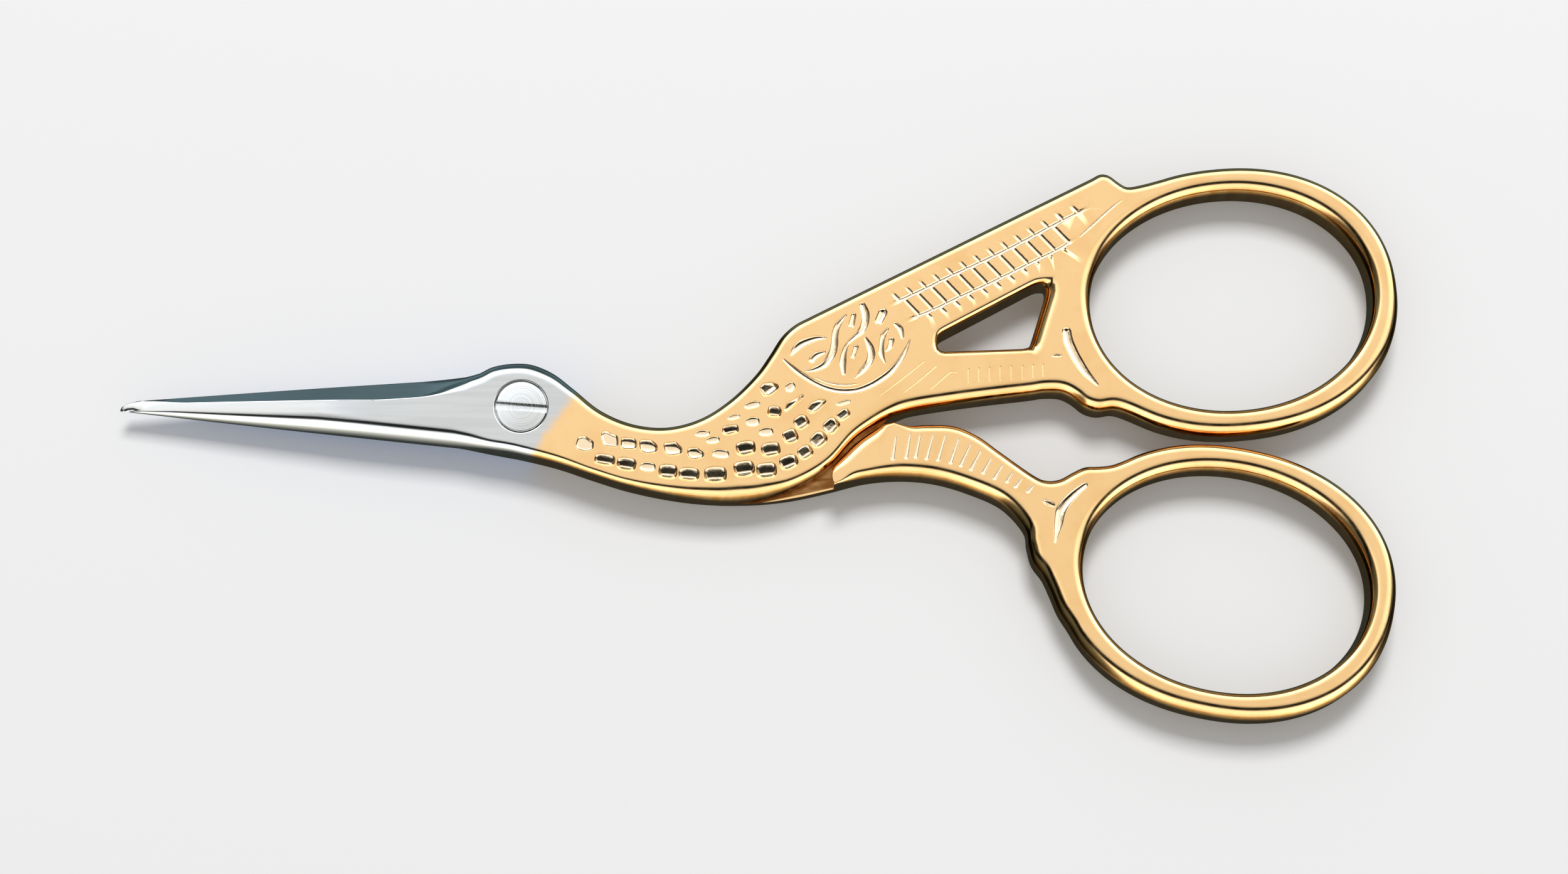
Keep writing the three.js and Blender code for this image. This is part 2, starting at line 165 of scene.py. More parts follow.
def left_of(v):
    return np.stack([-v[..., 1], v[..., 0]], axis=-1)


def heading(loop):
    """Directions of a closed line at its vertices"""
    return unit(np.roll(loop, -1, axis=0) - np.roll(loop, 1, axis=0))


def lengths(points):
    """How far along an open line each of its vertices is"""
    return np.concatenate([[0], np.cumsum(np.linalg.norm(np.diff(points, axis=0), axis=1))])


def smoothstep(value, low, high):
    t = np.clip((value - low) / (high - low), 0, 1)
    return t * t * (3 - 2 * t)


def grown(value, least, low, high):
    """A share that grows from its least to the whole between low and high"""
    return least + (1 - least) * smoothstep(value, low, high)


def curve(points, before=None, after=None, step=FINE):
    """A smooth line through the points. Before and after only steer its ends."""
    p = line(points)
    first = line([before])[0] if before is not None else p[0]
    last = line([after])[0] if after is not None else p[-1]
    ends = np.vstack([first, p, last])
    out = []
    for i in range(len(p) - 1):
        a, b, c, d = ends[i : i + 4]
        count = max(1, math.ceil(np.linalg.norm(c - b) / step))
        for k in range(count):
            t = k / count
            slope, bend = (c - a) * t, (2 * a - 5 * b + 4 * c - d) * t**2
            twist = (3 * b - 3 * c + d - a) * t**3
            out.append(0.5 * (2 * b + slope + bend + twist))
    out.append(p[-1])
    return np.array(out)


def straight(a, b, step):
    count = max(1, math.ceil(math.dist(a, b) / step))
    share = np.linspace(0, 1, count + 1)[:, None]
    return line([a]) * (1 - share) + line([b]) * share


def moved_left(points, distance):
    """An open line moved to its left."""
    p = line(points)
    padded = np.vstack([p[:1], p, p[-1:]])
    return p + left_of(unit(padded[2:] - padded[:-2])) * distance


def joined(*parts):
    """Lines laid end to end, without the points that two of them share."""
    out = [parts[0]]
    for part in parts[1:]:
        part = line(part)
        out.append(part[1:] if np.linalg.norm(part[0] - out[-1][-1]) < 1e-6 else part)
    whole = np.vstack(out)
    return whole[:-1] if np.linalg.norm(whole[0] - whole[-1]) < 1e-6 else whole


def round_corners(corners, radius, steps=5):
    """A closed polygon with rounded corners. Radius is one number, or one for each corner."""
    p = line(corners)
    n = len(p)
    radii = np.broadcast_to(radius, n)
    out = []
    for i in range(n):
        a, tip, b = p[i - 1], p[i], p[(i + 1) % n]
        u, v = unit(a - tip), unit(b - tip)
        half = math.acos(np.clip(u @ v, -1, 1)) / 2
        room = 0.48 * min(np.linalg.norm(a - tip), np.linalg.norm(b - tip))
        reach = min(radii[i] / math.tan(half), room)
        start, end = tip + u * reach, tip + v * reach
        for k in range(steps + 1):
            t = k / steps
            out.append((1 - t) ** 2 * start + 2 * t * (1 - t) * tip + t**2 * end)
    return np.array(out)


def spaced(loop, step):
    """A closed line with its vertices set at even distances."""
    ring = np.vstack([loop, loop[:1]])
    run = lengths(ring)
    at = np.linspace(0, run[-1], max(8, round(run[-1] / step)), endpoint=False)
    return np.stack([np.interp(at, run, ring[:, 0]), np.interp(at, run, ring[:, 1])], axis=1)


def squared_oval(angles, half_long, half_wide, squareness):
    """X and Y of an oval about 0, nearer to an oblong for a higher squareness"""
    c, s = np.cos(angles), np.sin(angles)
    x = half_long * np.sign(c) * np.abs(c) ** (2 / squareness)
    return x, half_wide * np.sign(s) * np.abs(s) ** (2 / squareness)


# Finger rings


def oval(ring, half_length, half_height, squareness, degrees):
    x, y = squared_oval(np.radians(np.asarray(degrees, float)), half_length, half_height, squareness)
    t = math.radians(ring["tilt"])
    turned = np.stack([x * math.cos(t) - y * math.sin(t), x * math.sin(t) + y * math.cos(t)], axis=-1)
    return turned + ring["centre"]


def band_point(ring, degrees, out=0.0):
    """Places on a ring's outer edge, by degrees round it and millimetres out"""
    degrees = np.asarray(degrees, float)

    def edge(angle):
        half_long, half_wide = HOLE_LENGTH / 2 + BAND_WIDTH, ring["height"] / 2 + BAND_WIDTH
        return oval(ring, half_long, half_wide, BAND_SQUARENESS, angle)

    outward = -left_of(unit(edge(degrees + 0.5) - edge(degrees - 0.5)))
    return edge(degrees) + outward * np.asarray(out, float)[..., None]


def make_ring(height, tilt, start_x, side):
    ring = {"height": height, "tilt": tilt, "centre": np.zeros(2)}
    reach = band_point(ring, np.arange(0, 360, 6)).max(axis=0)
    ring["centre"] = np.array([start_x + reach[0], RING_MEETING_Y + side * (RING_GAP / 2 + reach[1])])
    return ring


front_ring = make_ring(20.3, 5.5, 48.9, 1)
back_ring = make_ring(19.75, -11.5, 47.75, -1)


def band_arc(ring, span):
    count = round((span[1] - span[0]) / 360 * RING_STEPS)
    return band_point(ring, np.linspace(span[0], span[1], count + 1))


def finger_hole(ring):
    """Holes run clockwise, so that the metal is on the left of every outline."""
    degrees = -np.arange(HOLE_STEPS) * 360 / HOLE_STEPS
    return oval(ring, HOLE_LENGTH / 2, ring["height"] / 2, HOLE_SQUARENESS, degrees)


def near(ring, places):
    """The points of an outline that are given by their places near a ring"""
    return band_point(ring, places[0], np.array(places[1], float))


# Blades


def blade_thickness(x):
    """Thickness of a blade, whose taper starts gently"""
    places = np.asarray(x)[..., None] + np.linspace(-TAPER_BLEND, TAPER_BLEND, 9)
    taper = np.clip((-places - TAPER_START) / (BLADE_LENGTH - TAPER_START), 0, None)
    return (LAYER + (TIP_THICKNESS - LAYER) * taper).mean(axis=-1)


def from_tip(x):
    """Share of the way from the tip of a blade to its heel"""
    return np.clip((BLADE_LENGTH + x) / (BLADE_LENGTH - BLADE_HEEL), 0, 1)


def edge_room(x):
    """How much of a blade's width one of its edges may take"""
    width = TIP_WIDTH + (EDGE_RISE + SPINE_DROP - TIP_WIDTH) * from_tip(x)
    return (EDGE_SHARE - TIP_SHARE_LOSS * smoothstep(-x, *TIP_SHARE_PLACES)) * (width - 2 * OVERHANG)


def blade_middle(x):
    """Height on the plane of the line midway between a blade's two edges, level with the heel behind it"""
    share = from_tip(x)
    return (TIP_LOW + TIP_WIDTH / 2) * (1 - share) + (EDGE_RISE - SPINE_DROP) / 2 * share


def blade_side(side, inset):
    """One side of a blade, from near the tip to the heel."""
    tip = np.array([-BLADE_LENGTH, TIP_LOW + TIP_WIDTH - inset if side > 0 else TIP_LOW + inset])
    heel = np.array([-BLADE_HEEL, EDGE_RISE - inset if side > 0 else inset - SPINE_DROP])
    share = np.linspace(TIP_BLUNT / (BLADE_LENGTH - BLADE_HEEL), 1, BLADE_STEPS)[:, None]
    bow = np.sin(math.pi * share) * side * BLADE_CAMBER
    return tip * (1 - share) + heel * share + bow * np.array([0, 1])


def blade_tip(side, inset):
    """The blunt end of a blade, as an arc from its spine to its cutting edge"""
    turn = np.radians(np.linspace(0, TIP_ARC, TIP_STEPS))
    start = TIP_LOW + inset if side > 0 else TIP_LOW + TIP_WIDTH - inset
    x = -BLADE_LENGTH + 3 * inset + TIP_BLUNT * (1 - np.cos(turn))
    return np.stack([x, start + side * (TIP_WIDTH - 2 * inset) * np.sin(turn)], axis=1)


# Outlines of the two halves


def front_outline():
    lower, upper, tip = blade_side(-1, 0), blade_side(1, 0), blade_tip(1, 0)
    start, end = FRONT_BAND
    ring_start, ring_end = band_point(front_ring, start), band_point(front_ring, end)
    under = curve(
        [lower[-1], *HEAD_UNDER, *NECK_UNDER, *BREAST, *LINK_UNDER, *near(front_ring, LINK), ring_start],
        before=lower[-4], after=band_point(front_ring, start + 5))
    tail_points = near(front_ring, TAIL)
    along = unit(np.array(SHOULDER[0]) - tail_points[-1])
    off_tail = tail_points[-1] + along * OFF_TAIL
    on_shoulder = np.array(SHOULDER[0]) - along * OFF_SHOULDER
    tail = curve(
        [ring_end, *tail_points, off_tail], before=band_point(front_ring, end - 6), after=off_tail + along)
    over = curve(
        [on_shoulder, *SHOULDER, *NECK_OVER, *HEAD_OVER, FRONT_HEEL],
        before=on_shoulder - along, after=upper[-3])
    ring, back = band_arc(front_ring, FRONT_BAND), straight(off_tail, on_shoulder, STRAIGHT_STEP)
    return joined(tip[:1], lower, under, ring, tail, back, over, upper[::-1], tip[::-1])


def back_outline():
    lower, upper = blade_side(-1, OVERHANG), blade_side(1, OVERHANG)
    start, end = BACK_BAND
    ring_start, ring_end = band_point(back_ring, start), band_point(back_ring, end)
    knob, notch = near(back_ring, KNOB), near(back_ring, NOTCH)
    under = curve(
        [lower[-1], BACK_HEEL, *HEAD_UNDER, *NECK_UNDER, *BODY_UNDER, *LEG_UNDER, *knob, ring_start],
        before=lower[-4], after=band_point(back_ring, start + 5))
    neck, head = moved_left(NECK_OVER[3:], OVERHANG), moved_left(HEAD_OVER, OVERHANG)
    over = curve(
        [ring_end, *notch, *LEG_OVER, *BODY_OVER, *neck, *head, upper[-1]],
        before=band_point(back_ring, end - 5), after=upper[-4])
    ring = band_arc(back_ring, BACK_BAND)
    return joined(blade_tip(-1, OVERHANG), lower, under, ring, over, upper[::-1])


def bird_window():
    corners = [*WINDOW_LEFT, *near(front_ring, WINDOW_RIGHT)]
    return spaced(round_corners(corners, WINDOW_CORNER, 8), FINE)


# Edge shapes

# A rounded edge at its levels, from the upright wall to the flat face: its turns
TURNS = np.radians([0, 0, 13, 27, 41, 54, 66, 78, 90])

# A ground edge at the same levels: the share of its width and height
GRIND = np.array([0, 0, 0.04, 0.2, 0.4, 0.6, 0.8, 0.96, 1.0])

# One more level on the flat face keeps the shading of the edge off it.
SUPPORT = 0.06

# Loops move inwards by this at most at a time, and their vertices are evened out by this share each time.
INWARD_STEP = 0.05
EVENING = 0.25

# Roundings of the lower and the upper edges, by x
LOWER_ROUNDING = (
    [-2, 4, 6, 9, 11, 13, 15, 17, 19.5, 22, 24, 27, 31, 34],
    [0.9, 0.7, 0.6, 0.6, 0.7, 0.85, 1.0, 1.2, 1.35, 1.2, 0.9, 0.78, 0.85, 1.2],
)
UPPER_ROUNDING = ([2, 5, 9, 14], [1.2, 0.9, 0.8, 0.75])

# Rounding of the steps between the half and the full thickness. The back one starts with its least at the
# lower end, and has so much more away from there.
FRONT_STEP_ROUNDING = 0.7
BACK_STEP_ROUNDING = (0.15, 0.85)

# Where the outline meets a step, the edges are tighter: least share, and distances from the corner
STEP_CORNER = (0.25, 0.3, 2.2)


def edge_radius(loop):
    """Edges that face up the plane are mostly tighter than those that face down it."""
    x, outward_y = loop[:, 0], -left_of(heading(loop))[:, 1]
    up = smoothstep(outward_y, -0.6, 0.5)
    return np.interp(x, *LOWER_ROUNDING) * (1 - up) + np.interp(x, *UPPER_ROUNDING) * up


def window_radius(loop):
    """The window's edge is widest on the side of the ring."""
    wide = smoothstep(left_of(heading(loop))[:, 0], 0.35, 0.85) * smoothstep(loop[:, 0], 43, 45)
    return WINDOW_ROUNDING + wide * (WINDOW_WIDE - WINDOW_ROUNDING)


def rounded_levels(radius, height):
    inset = radius[:, None] * (1 - np.cos(TURNS))
    out = height[:, None] - radius[:, None] * (1 - np.sin(TURNS))
    out[:, 0] = 0
    return inset, out


def ground_levels(width, height):
    land = np.minimum(EDGE_LAND, height / 2)[:, None]
    inset = width[:, None] * GRIND
    out = land + (height[:, None] - land) * GRIND
    out[:, 0] = 0
    return inset, out


def with_support(inset, out):
    return np.hstack([inset, inset[:, -1:] + SUPPORT]), np.hstack([out, out[:, -1:]])


def blade_layer_levels(loop, cutting):
    """Levels of a half's own layer: ground along its cutting edge, rounded elsewhere"""
    x = loop[:, 0]
    height = blade_thickness(x)
    on_blade = smoothstep(-x, BLADE_HEEL - 3, BLADE_HEEL + 1)
    most = SPINE_SHARE * height * grown(x, *SPINE_FADE)
    spine = np.minimum(np.minimum(SPINE_ROUNDING, edge_room(x)), most)
    radius = edge_radius(loop) * (1 - on_blade) + on_blade * spine
    width = np.minimum(BEVEL_WIDTH * height / LAYER, edge_room(x)) * grown(x, *BEVEL_FADE)
    ground = cutting * (1 - smoothstep(x, -BLADE_HEEL - BEVEL_RUNOUT, -BLADE_HEEL + 1))
    round_inset, round_out = rounded_levels(radius, height)
    ground_inset, ground_out = ground_levels(width, height)
    share = ground[:, None]
    inset = round_inset * (1 - share) + ground_inset * share
    return with_support(inset, round_out * (1 - share) + ground_out * share)


def plain_levels(loop, radius):
    """Levels of a plain rounded edge"""
    return with_support(*rounded_levels(radius, np.full(len(loop), LAYER)))


def inset_loops(loop, insets):
    """The loop moved into the metal, once for each level. Small steps keep tight corners from crossing."""
    levels = [loop]
    now = loop.copy()
    for k in range(1, insets.shape[1]):
        advance = insets[:, k] - insets[:, k - 1]
        count = max(1, math.ceil(advance.max() / INWARD_STEP))
        for _ in range(count):
            along = heading(now)
            now = now + left_of(along) * (advance / count)[:, None]
            if advance.max() > 1e-6:
                pull = (np.roll(now, -1, axis=0) + np.roll(now, 1, axis=0)) / 2 - now
                now = now + along * (EVENING * (pull * along).sum(axis=1))[:, None]
        levels.append(now)
    return levels


# Mesh tools


def closed_pairs(verts):
    return zip(verts, verts[1:] + verts[:1])


def add_loop(bm, points, z):
    verts = [bm.verts.new((p[0], p[1], h)) for p, h in zip(points, np.broadcast_to(z, len(points)))]
    return verts, [bm.edges.new(pair) for pair in closed_pairs(verts)]


def grow(bm, verts, edges, points, z):
    """Draws a loop out into a new one at the given places, with a band of faces between them."""
    made = bmesh.ops.extrude_edge_only(bm, edges=edges)["geom"]
    fresh = {g for g in made if isinstance(g, bmesh.types.BMVert)}
    drawn = [next(o for e in v.link_edges if (o := e.other_vert(v)) in fresh) for v in verts]
    for v, p, h in zip(drawn, points, np.broadcast_to(z, len(points))):
        v.co = (p[0], p[1], h)
    return drawn, [bm.edges.get(pair) for pair in closed_pairs(drawn)]


def fill(bm, edges):
    """Closes flat outlines, with the loops inside them left out."""
    made = bmesh.ops.triangle_fill(bm, edges=edges, use_beauty=True, use_dissolve=False, normal=(0, 0, 1))
    return made["geom"]


def sharpen(edges):
    for e in edges:
        e.smooth = False


def mesh_of(bm, name):
    mesh = bpy.data.meshes.new(name)
    bm.to_mesh(mesh)
    bm.free()
    return mesh


def placed(name, data):
    thing = bpy.data.objects.new(name, data)
    bpy.context.scene.collection.objects.link(thing)
    return thing


# Places in a forging's list of materials. The plating is the first one, and what isn't named is plated.
GROUND_FLAT, MARKED = 1, 2


def finished(bm, name, materials, body, slot, *nodes):
    """Turns the worked mesh into a piece that stands for CAD nodes and rides on their body"""
    bmesh.ops.remove_doubles(bm, verts=bm.verts, dist=1e-5)
    bmesh.ops.dissolve_degenerate(bm, edges=bm.edges, dist=1e-6)
    bmesh.ops.recalc_face_normals(bm, faces=bm.faces)
    bmesh.ops.scale(bm, vec=(MM, MM, MM), verts=bm.verts)
    for face in bm.faces:
        face.smooth = True
    mesh = mesh_of(bm, name)
    piece = placed(name, mesh)
    for material in materials:
        mesh.materials.append(material)
    shading = piece.modifiers.new("shading_by_face_size", "WEIGHTED_NORMAL")
    shading.mode, shading.weight, shading.keep_sharp = "FACE_AREA", 50, True
    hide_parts(*nodes)
    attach(piece, body)


# Stamped marks: each is a list of nested loops with a depth for every vertex

RIM = 0.035
LIP = 0.04
LIP_DEPTH = 0.07
UNEVENNESS = 0.02
MARK_ROOM = 0.04

# Punched hollows, by their half width
CREASE_REACH = 0.62
WALL_SHARE = 0.35
SHOULDER_DEPTH, SLOPE_DEPTH = 0.16, 0.27
SLOPE_START = 0.24

# Shallow hollows: how far in, how deep
TRAY_PROFILE = [(0, 0), (0.02, 0.035), (0.04, 0.06), (0.1, 0.1), (0.16, 0.132), (0.21, 0.145), (0.26, 0.145)]

# Cut grooves
GROOVE_SLOPE = 0.36
STROKE_STEP = 0.2
CAP_TURNS = np.radians([36, 72, 108, 144])


def outset(loop, distance):
    return loop - left_of(heading(loop)) * distance


def wobble(points):
    """A little unevenness, as from hand-cut dies"""
    x, y = points[:, 0], points[:, 1]
    sway = [np.sin(5.3 * y + 2.1 * x) + np.sin(9.7 * x), np.sin(6.1 * x - 1.7 * y) + np.sin(8.9 * y)]
    return points + UNEVENNESS * np.stack(sway, axis=1) / 2


def oblong(cx, cy, half_long, half_wide, turn=0.0, squareness=3.0, count=30):
    x, y = squared_oval(np.linspace(0, 2 * math.pi, count, endpoint=False), half_long, half_wide, squareness)
    t = math.radians(turn)
    return np.stack([cx + x * math.cos(t) - y * math.sin(t), cy + x * math.sin(t) + y * math.cos(t)], axis=1)


def anticlockwise(loop):
    x, y = loop[:, 0], loop[:, 1]
    return loop if (x * np.roll(y, -1) - np.roll(x, -1) * y).sum() > 0 else loop[::-1]


def pit(rim, deep=1.0, low=0.3, turn=0.0, floor=0.07):
    """A hollow from a slanting punch: an upright lip, a steep shoulder and slopes down to a crease or floor.

    The crease lies towards the lower edge by the share low. Floor is the part of the slopes left flat.
    """
    rim = wobble(anticlockwise(rim))
    centre = rim.mean(axis=0)
    along = np.array([math.cos(math.radians(turn)), math.sin(math.radians(turn))])
    across = left_of(along)
    reach = np.abs((rim - centre) @ along).max()
    half = np.abs((rim - centre) @ across).max()
    run = np.clip((rim - centre) @ along, -CREASE_REACH * reach, CREASE_REACH * reach)
    crease = centre + run[:, None] * along - across * low * half
    far = np.linalg.norm(rim - crease, axis=1)
    lip = min(1.0, deep) * LIP_DEPTH
    wall = np.minimum(WALL_SHARE, LIP / far)[:, None]
    levels = [(outset(rim, RIM), 0), (rim, 0)]
    for share, down in [(0.5, 0.42), (1, 0.92)]:
        levels.append((rim + (crease - rim) * wall * share, lip * down))
    foot = rim + (crease - rim) * wall * 1.3
    shoulder, slope = SHOULDER_DEPTH * half * deep, SLOPE_DEPTH * half * deep
    levels.append((foot, lip + 0.02 * deep))
    for share, down in [(SLOPE_START / 2, 0.55), (SLOPE_START, 1)]:
        levels.append((foot + (crease - foot) * share, lip + shoulder * down))
    for share in (0.35, 0.6, 0.85, 1):
        place = SLOPE_START + (1 - floor - SLOPE_START) * share
        down = lip + shoulder + slope * (place - SLOPE_START) / (1 - SLOPE_START)
        levels.append((foot + (crease - foot) * place, down))
    return {"levels": levels, "close": "fill"}


def tray(rim):
    """A shallow hollow with a flat floor"""
    rim = wobble(anticlockwise(rim))
    levels = [(outset(rim, RIM), 0), *[(outset(rim, -inset), down) for inset, down in TRAY_PROFILE]]
    return {"levels": levels, "close": "fill"}


def stroke(points, width, deep=1.0):
    """A cut groove along a smooth line: upright lips and two slopes, and a width for each of its points"""
    centre = curve(points, step=STROKE_STEP)
    knots, run = lengths(line(points)), lengths(centre)
    half = np.interp(run / run[-1], knots / knots[-1], np.broadcast_to(width, len(points))) / 2
    along = unit(np.gradient(centre, axis=0))
    side = left_of(along)

    def ring_at(share, more=0.0):
        reach = np.maximum(half * share + more, 0)
        right, left = centre - side * reach[:, None], centre + side * reach[:, None]
        far, near_end = [
            [centre[i] + way * (along[i] * math.sin(c) - side[i] * math.cos(c)) * reach[i] for c in CAP_TURNS]
            for i, way in ((-1, 1), (0, -1))]
        return np.vstack([right, far, left[::-1], near_end])

    def round_again(values):
        caps = len(CAP_TURNS)
        return np.concatenate([values, [values[-1]] * caps, values[::-1], [values[0]] * caps])

    lip = np.minimum(0.3 * half, LIP)
    lip_down = lip * LIP_DEPTH / LIP * deep
    floor_down = (half - lip) * GROOVE_SLOPE * deep
    levels = [(ring_at(1, RIM * 0.8), 0)]
    for share, down in [(0, 0), (0.5, 0.45), (1, 1)]:
        levels.append((ring_at(1, -lip * share), round_again(lip_down * down)))
    for share in (0.3, 0.7, 1):
        levels.append((ring_at(1 - share, -lip * (1 - share)), round_again(lip_down + floor_down * share)))
    return {"levels": levels, "close": "merge"}


def tick(a, b, width, deep):
    """A short straight cut that is cut back at its ends where the face is too narrow for it"""
    a, b = np.array(a, float), np.array(b, float)

    def versions():
        for less in np.arange(0, 0.7, 0.05):
            for share in (0, 0.25, 0.5, 0.75, 1):
                yield stroke([a + (b - a) * less * share, b + (a - b) * less * (1 - share)], width, deep)

    return {"shorter": versions}


def cut_mark(mark, z, side):
    """One mark as a small mesh of its own, open round its outer loop. Its face is at height z."""
    bm = bmesh.new()
    if mark["close"] == "sheet":
        x, y, down, keep = mark["sheet"]
        sheet(bm, x, y, z - side * down, keep)
    else:
        levels = [(points, z - side * np.broadcast_to(down, len(points))) for points, down in mark["levels"]]
        verts, edges = add_loop(bm, *levels[0])
        for points, heights in levels[1:]:
            verts, edges = grow(bm, verts, edges, points, heights)
        if mark["close"] == "merge":
            bmesh.ops.remove_doubles(bm, verts=verts, dist=1e-4)
        else:
            fill(bm, edges)
    for face in bm.faces:
        face.material_index = MARKED
    return mesh_of(bm, "mark")


def inside(points, loop):
    """Which points lie inside a closed line"""
    a, b = loop, np.roll(loop, -1, axis=0)
    x, y = points[:, :1], points[:, 1:]
    spans = (a[:, 1] > y) != (b[:, 1] > y)
    rise = np.where(b[:, 1] == a[:, 1], 1e-12, b[:, 1] - a[:, 1])
    return ((spans & (x < a[:, 0] + (y - a[:, 1]) * (b[:, 0] - a[:, 0]) / rise)).sum(axis=1) % 2) == 1


def distance_to(points, loop):
    a, b = loop, np.roll(loop, -1, axis=0)
    along = b - a
    share = ((points[:, None] - a) * along).sum(axis=2) / np.maximum((along**2).sum(axis=1), 1e-12)
    share = share.clip(0, 1)
    return np.linalg.norm(points[:, None] - a - share[..., None] * along, axis=2).min(axis=1)


def fitting(marks, outline, holes):
    """The marks that lie wholly on a face, clear of its outline and holes. The others are left out."""
    kept = []
    for mark in marks:
        for version in mark["shorter"]() if "shorter" in mark else [mark]:
            points = version["levels"][0][0]
            clear = inside(points, outline).all() and all(not inside(points, hole).any() for hole in holes)
            if clear and min(distance_to(points, loop).min() for loop in [outline, *holes]) > MARK_ROOM:
                kept.append(version)
                break
    return kept


def cut_marks(bm, marks, z, side):
    """Works the marks into a face, and gives the edges that bound them on it."""
    before = len(bm.edges)
    for mark in marks:
        mesh = cut_mark(mark, z, side)
        bm.from_mesh(mesh)
        bpy.data.meshes.remove(mesh)
    bm.edges.ensure_lookup_table()
    return [e for e in bm.edges[before:] if len(e.link_faces) == 1]


# A forged half


def forge(
    outline, cutting, shared, step_line, step_radius, holes, inner, side, outer_marks, inner_marks, bore
):
    """One half as a closed mesh.

    Its own layer rises from the lapping plane at height inner towards side. From outline vertex shared[0]
    to shared[1], and behind the step line, it is full thickness: the other layer goes the other way.
    """
    bm = bmesh.new()
    verts, edges = add_loop(bm, outline, inner)
    hole_loops = [add_loop(bm, hole, inner) for hole in holes]
    hole_radii = [edge_radius(holes[0]), *[window_radius(hole) for hole in holes[1:]]]
    hole_levels = [plain_levels(hole, radius) for hole, radius in zip(holes, hole_radii)]
    hole_insets = [inset_loops(hole, insets) for hole, (insets, _) in zip(holes, hole_levels)]
    face_holes = [levels[-1] for levels in hole_insets]

    def raise_holes(way):
        edges = []
        for (hole_verts, hole_edges), levels, (_, outs) in zip(hole_loops, hole_insets, hole_levels):
            edges += raise_levels(bm, hole_verts, hole_edges, levels, outs, inner, way)
        return edges

    # The half's own layer
    outer_z = inner + side * LAYER
    insets, outs = blade_layer_levels(outline, cutting)
    loops = inset_loops(outline, insets)
    caps = raise_levels(bm, verts, edges, loops, outs, inner, side) + raise_holes(side)
    bore_foot, bore_rim = drill(bm, *bore)
    caps += bore_rim
    caps += cut_marks(bm, fitting(outer_marks, loops[-1], face_holes), outer_z, side)
    shape_blade(bm, fill(bm, caps), inner, side)

    # The other layer, behind the step
    a, b = shared
    count = len(outline)
    run = [(a + i) % count for i in range((b - a) % count + 1)]
    step_verts = [bm.verts.new((p[0], p[1], inner)) for p in step_line]
    thick_verts = [verts[i] for i in run] + step_verts
    step_chain = [thick_verts[len(run) - 1], *step_verts, thick_verts[0]]
    step_edges = [bm.edges.new(pair) for pair in zip(step_chain, step_chain[1:])]
    shared_edges = [bm.edges.get((verts[i], verts[j])) for i, j in zip(run, run[1:])]
    thick = np.vstack([outline[run], step_line])
    radius = edge_radius(thick)
    radius[len(run):] = step_radius
    corners = np.array([outline[a], outline[b]])
    to_corner = np.linalg.norm(thick[:, None] - corners, axis=2).min(axis=1)
    radius *= grown(to_corner, *STEP_CORNER)
    insets, outs = plain_levels(thick, radius)
    loops = inset_loops(thick, insets)
    caps = raise_levels(bm, thick_verts, shared_edges + step_edges, loops, outs, inner, -side)
    caps += raise_holes(-side)
    caps += cut_marks(bm, fitting(inner_marks, loops[-1], face_holes), inner - side * LAYER, -side)
    fill(bm, caps)

    # The lapping face
    rest = [verts[(b + i) % count] for i in range((a - b) % count + 1)]
    lap = [bm.edges.get((rest[i], rest[i + 1])) for i in range(len(rest) - 1)]
    for g in fill(bm, lap + step_edges + bore_foot):
        if isinstance(g, bmesh.types.BMFace):
            g.material_index = GROUND_FLAT
    sharpen(lap + step_edges)
    return bm


def raise_levels(bm, verts, edges, loops, outs, inner, side):
    for k in range(1, len(loops)):
        verts, edges = grow(bm, verts, edges, loops[k], inner + side * outs[:, k])
    return edges


def shape_blade(bm, made, inner, side):
    """Gives the outer face of the blade its taper towards the tip"""
    faces = [g for g in made if isinstance(g, bmesh.types.BMFace)]
    for x in -TAPER_START + TAPER_BLEND * np.linspace(-1, 1, 7):
        parts = [(f, *f.edges, *f.verts) for f in faces if f.is_valid]
        geom = list(dict.fromkeys(g for part in parts for g in part))
        cut = bmesh.ops.bisect_plane(bm, geom=geom, plane_co=(x, 0, 0), plane_no=(1, 0, 0))
        faces = [g for g in cut["geom"] if isinstance(g, bmesh.types.BMFace)]
    for v in {v for f in faces for v in f.verts}:
        if v.co.x < -TAPER_START + TAPER_BLEND:
            v.co.z = inner + side * float(blade_thickness(v.co.x))


# The marks, by place on the plane in millimetres

# Neck: shallow beads in the upper row, deeper punches in the lower row, which goes on along the breast
UPPER_BEADS = [
    [[4.95, -3.55], [5.15, -2.75], [5.75, -2.7], [6.55, -3.2], [6.55, -3.95], [5.9, -4.15], [5.1, -3.95]],
    [[7.15, -2.6], [7.45, -2.15], [8.7, -2.72], [8.8, -3.75], [7.45, -3.6]],
    [[8.97, -2.78], [10.4, -2.95], [10.42, -3.95], [9.2, -3.93], [8.95, -3.7]],
    [[10.6, -2.98], [11.6, -3.05], [12.3, -3.55], [12.25, -4.2], [11.3, -4.35], [10.62, -4.05]],
    [[12.75, -3.3], [13.9, -3.25], [14.5, -3.8], [14.4, -4.4], [13.2, -4.55], [12.85, -4.1]],
    [[15.0, -3.75], [15.75, -3.75], [16.5, -4.3], [16.3, -4.75], [15.2, -4.9], [14.85, -4.3]],
]
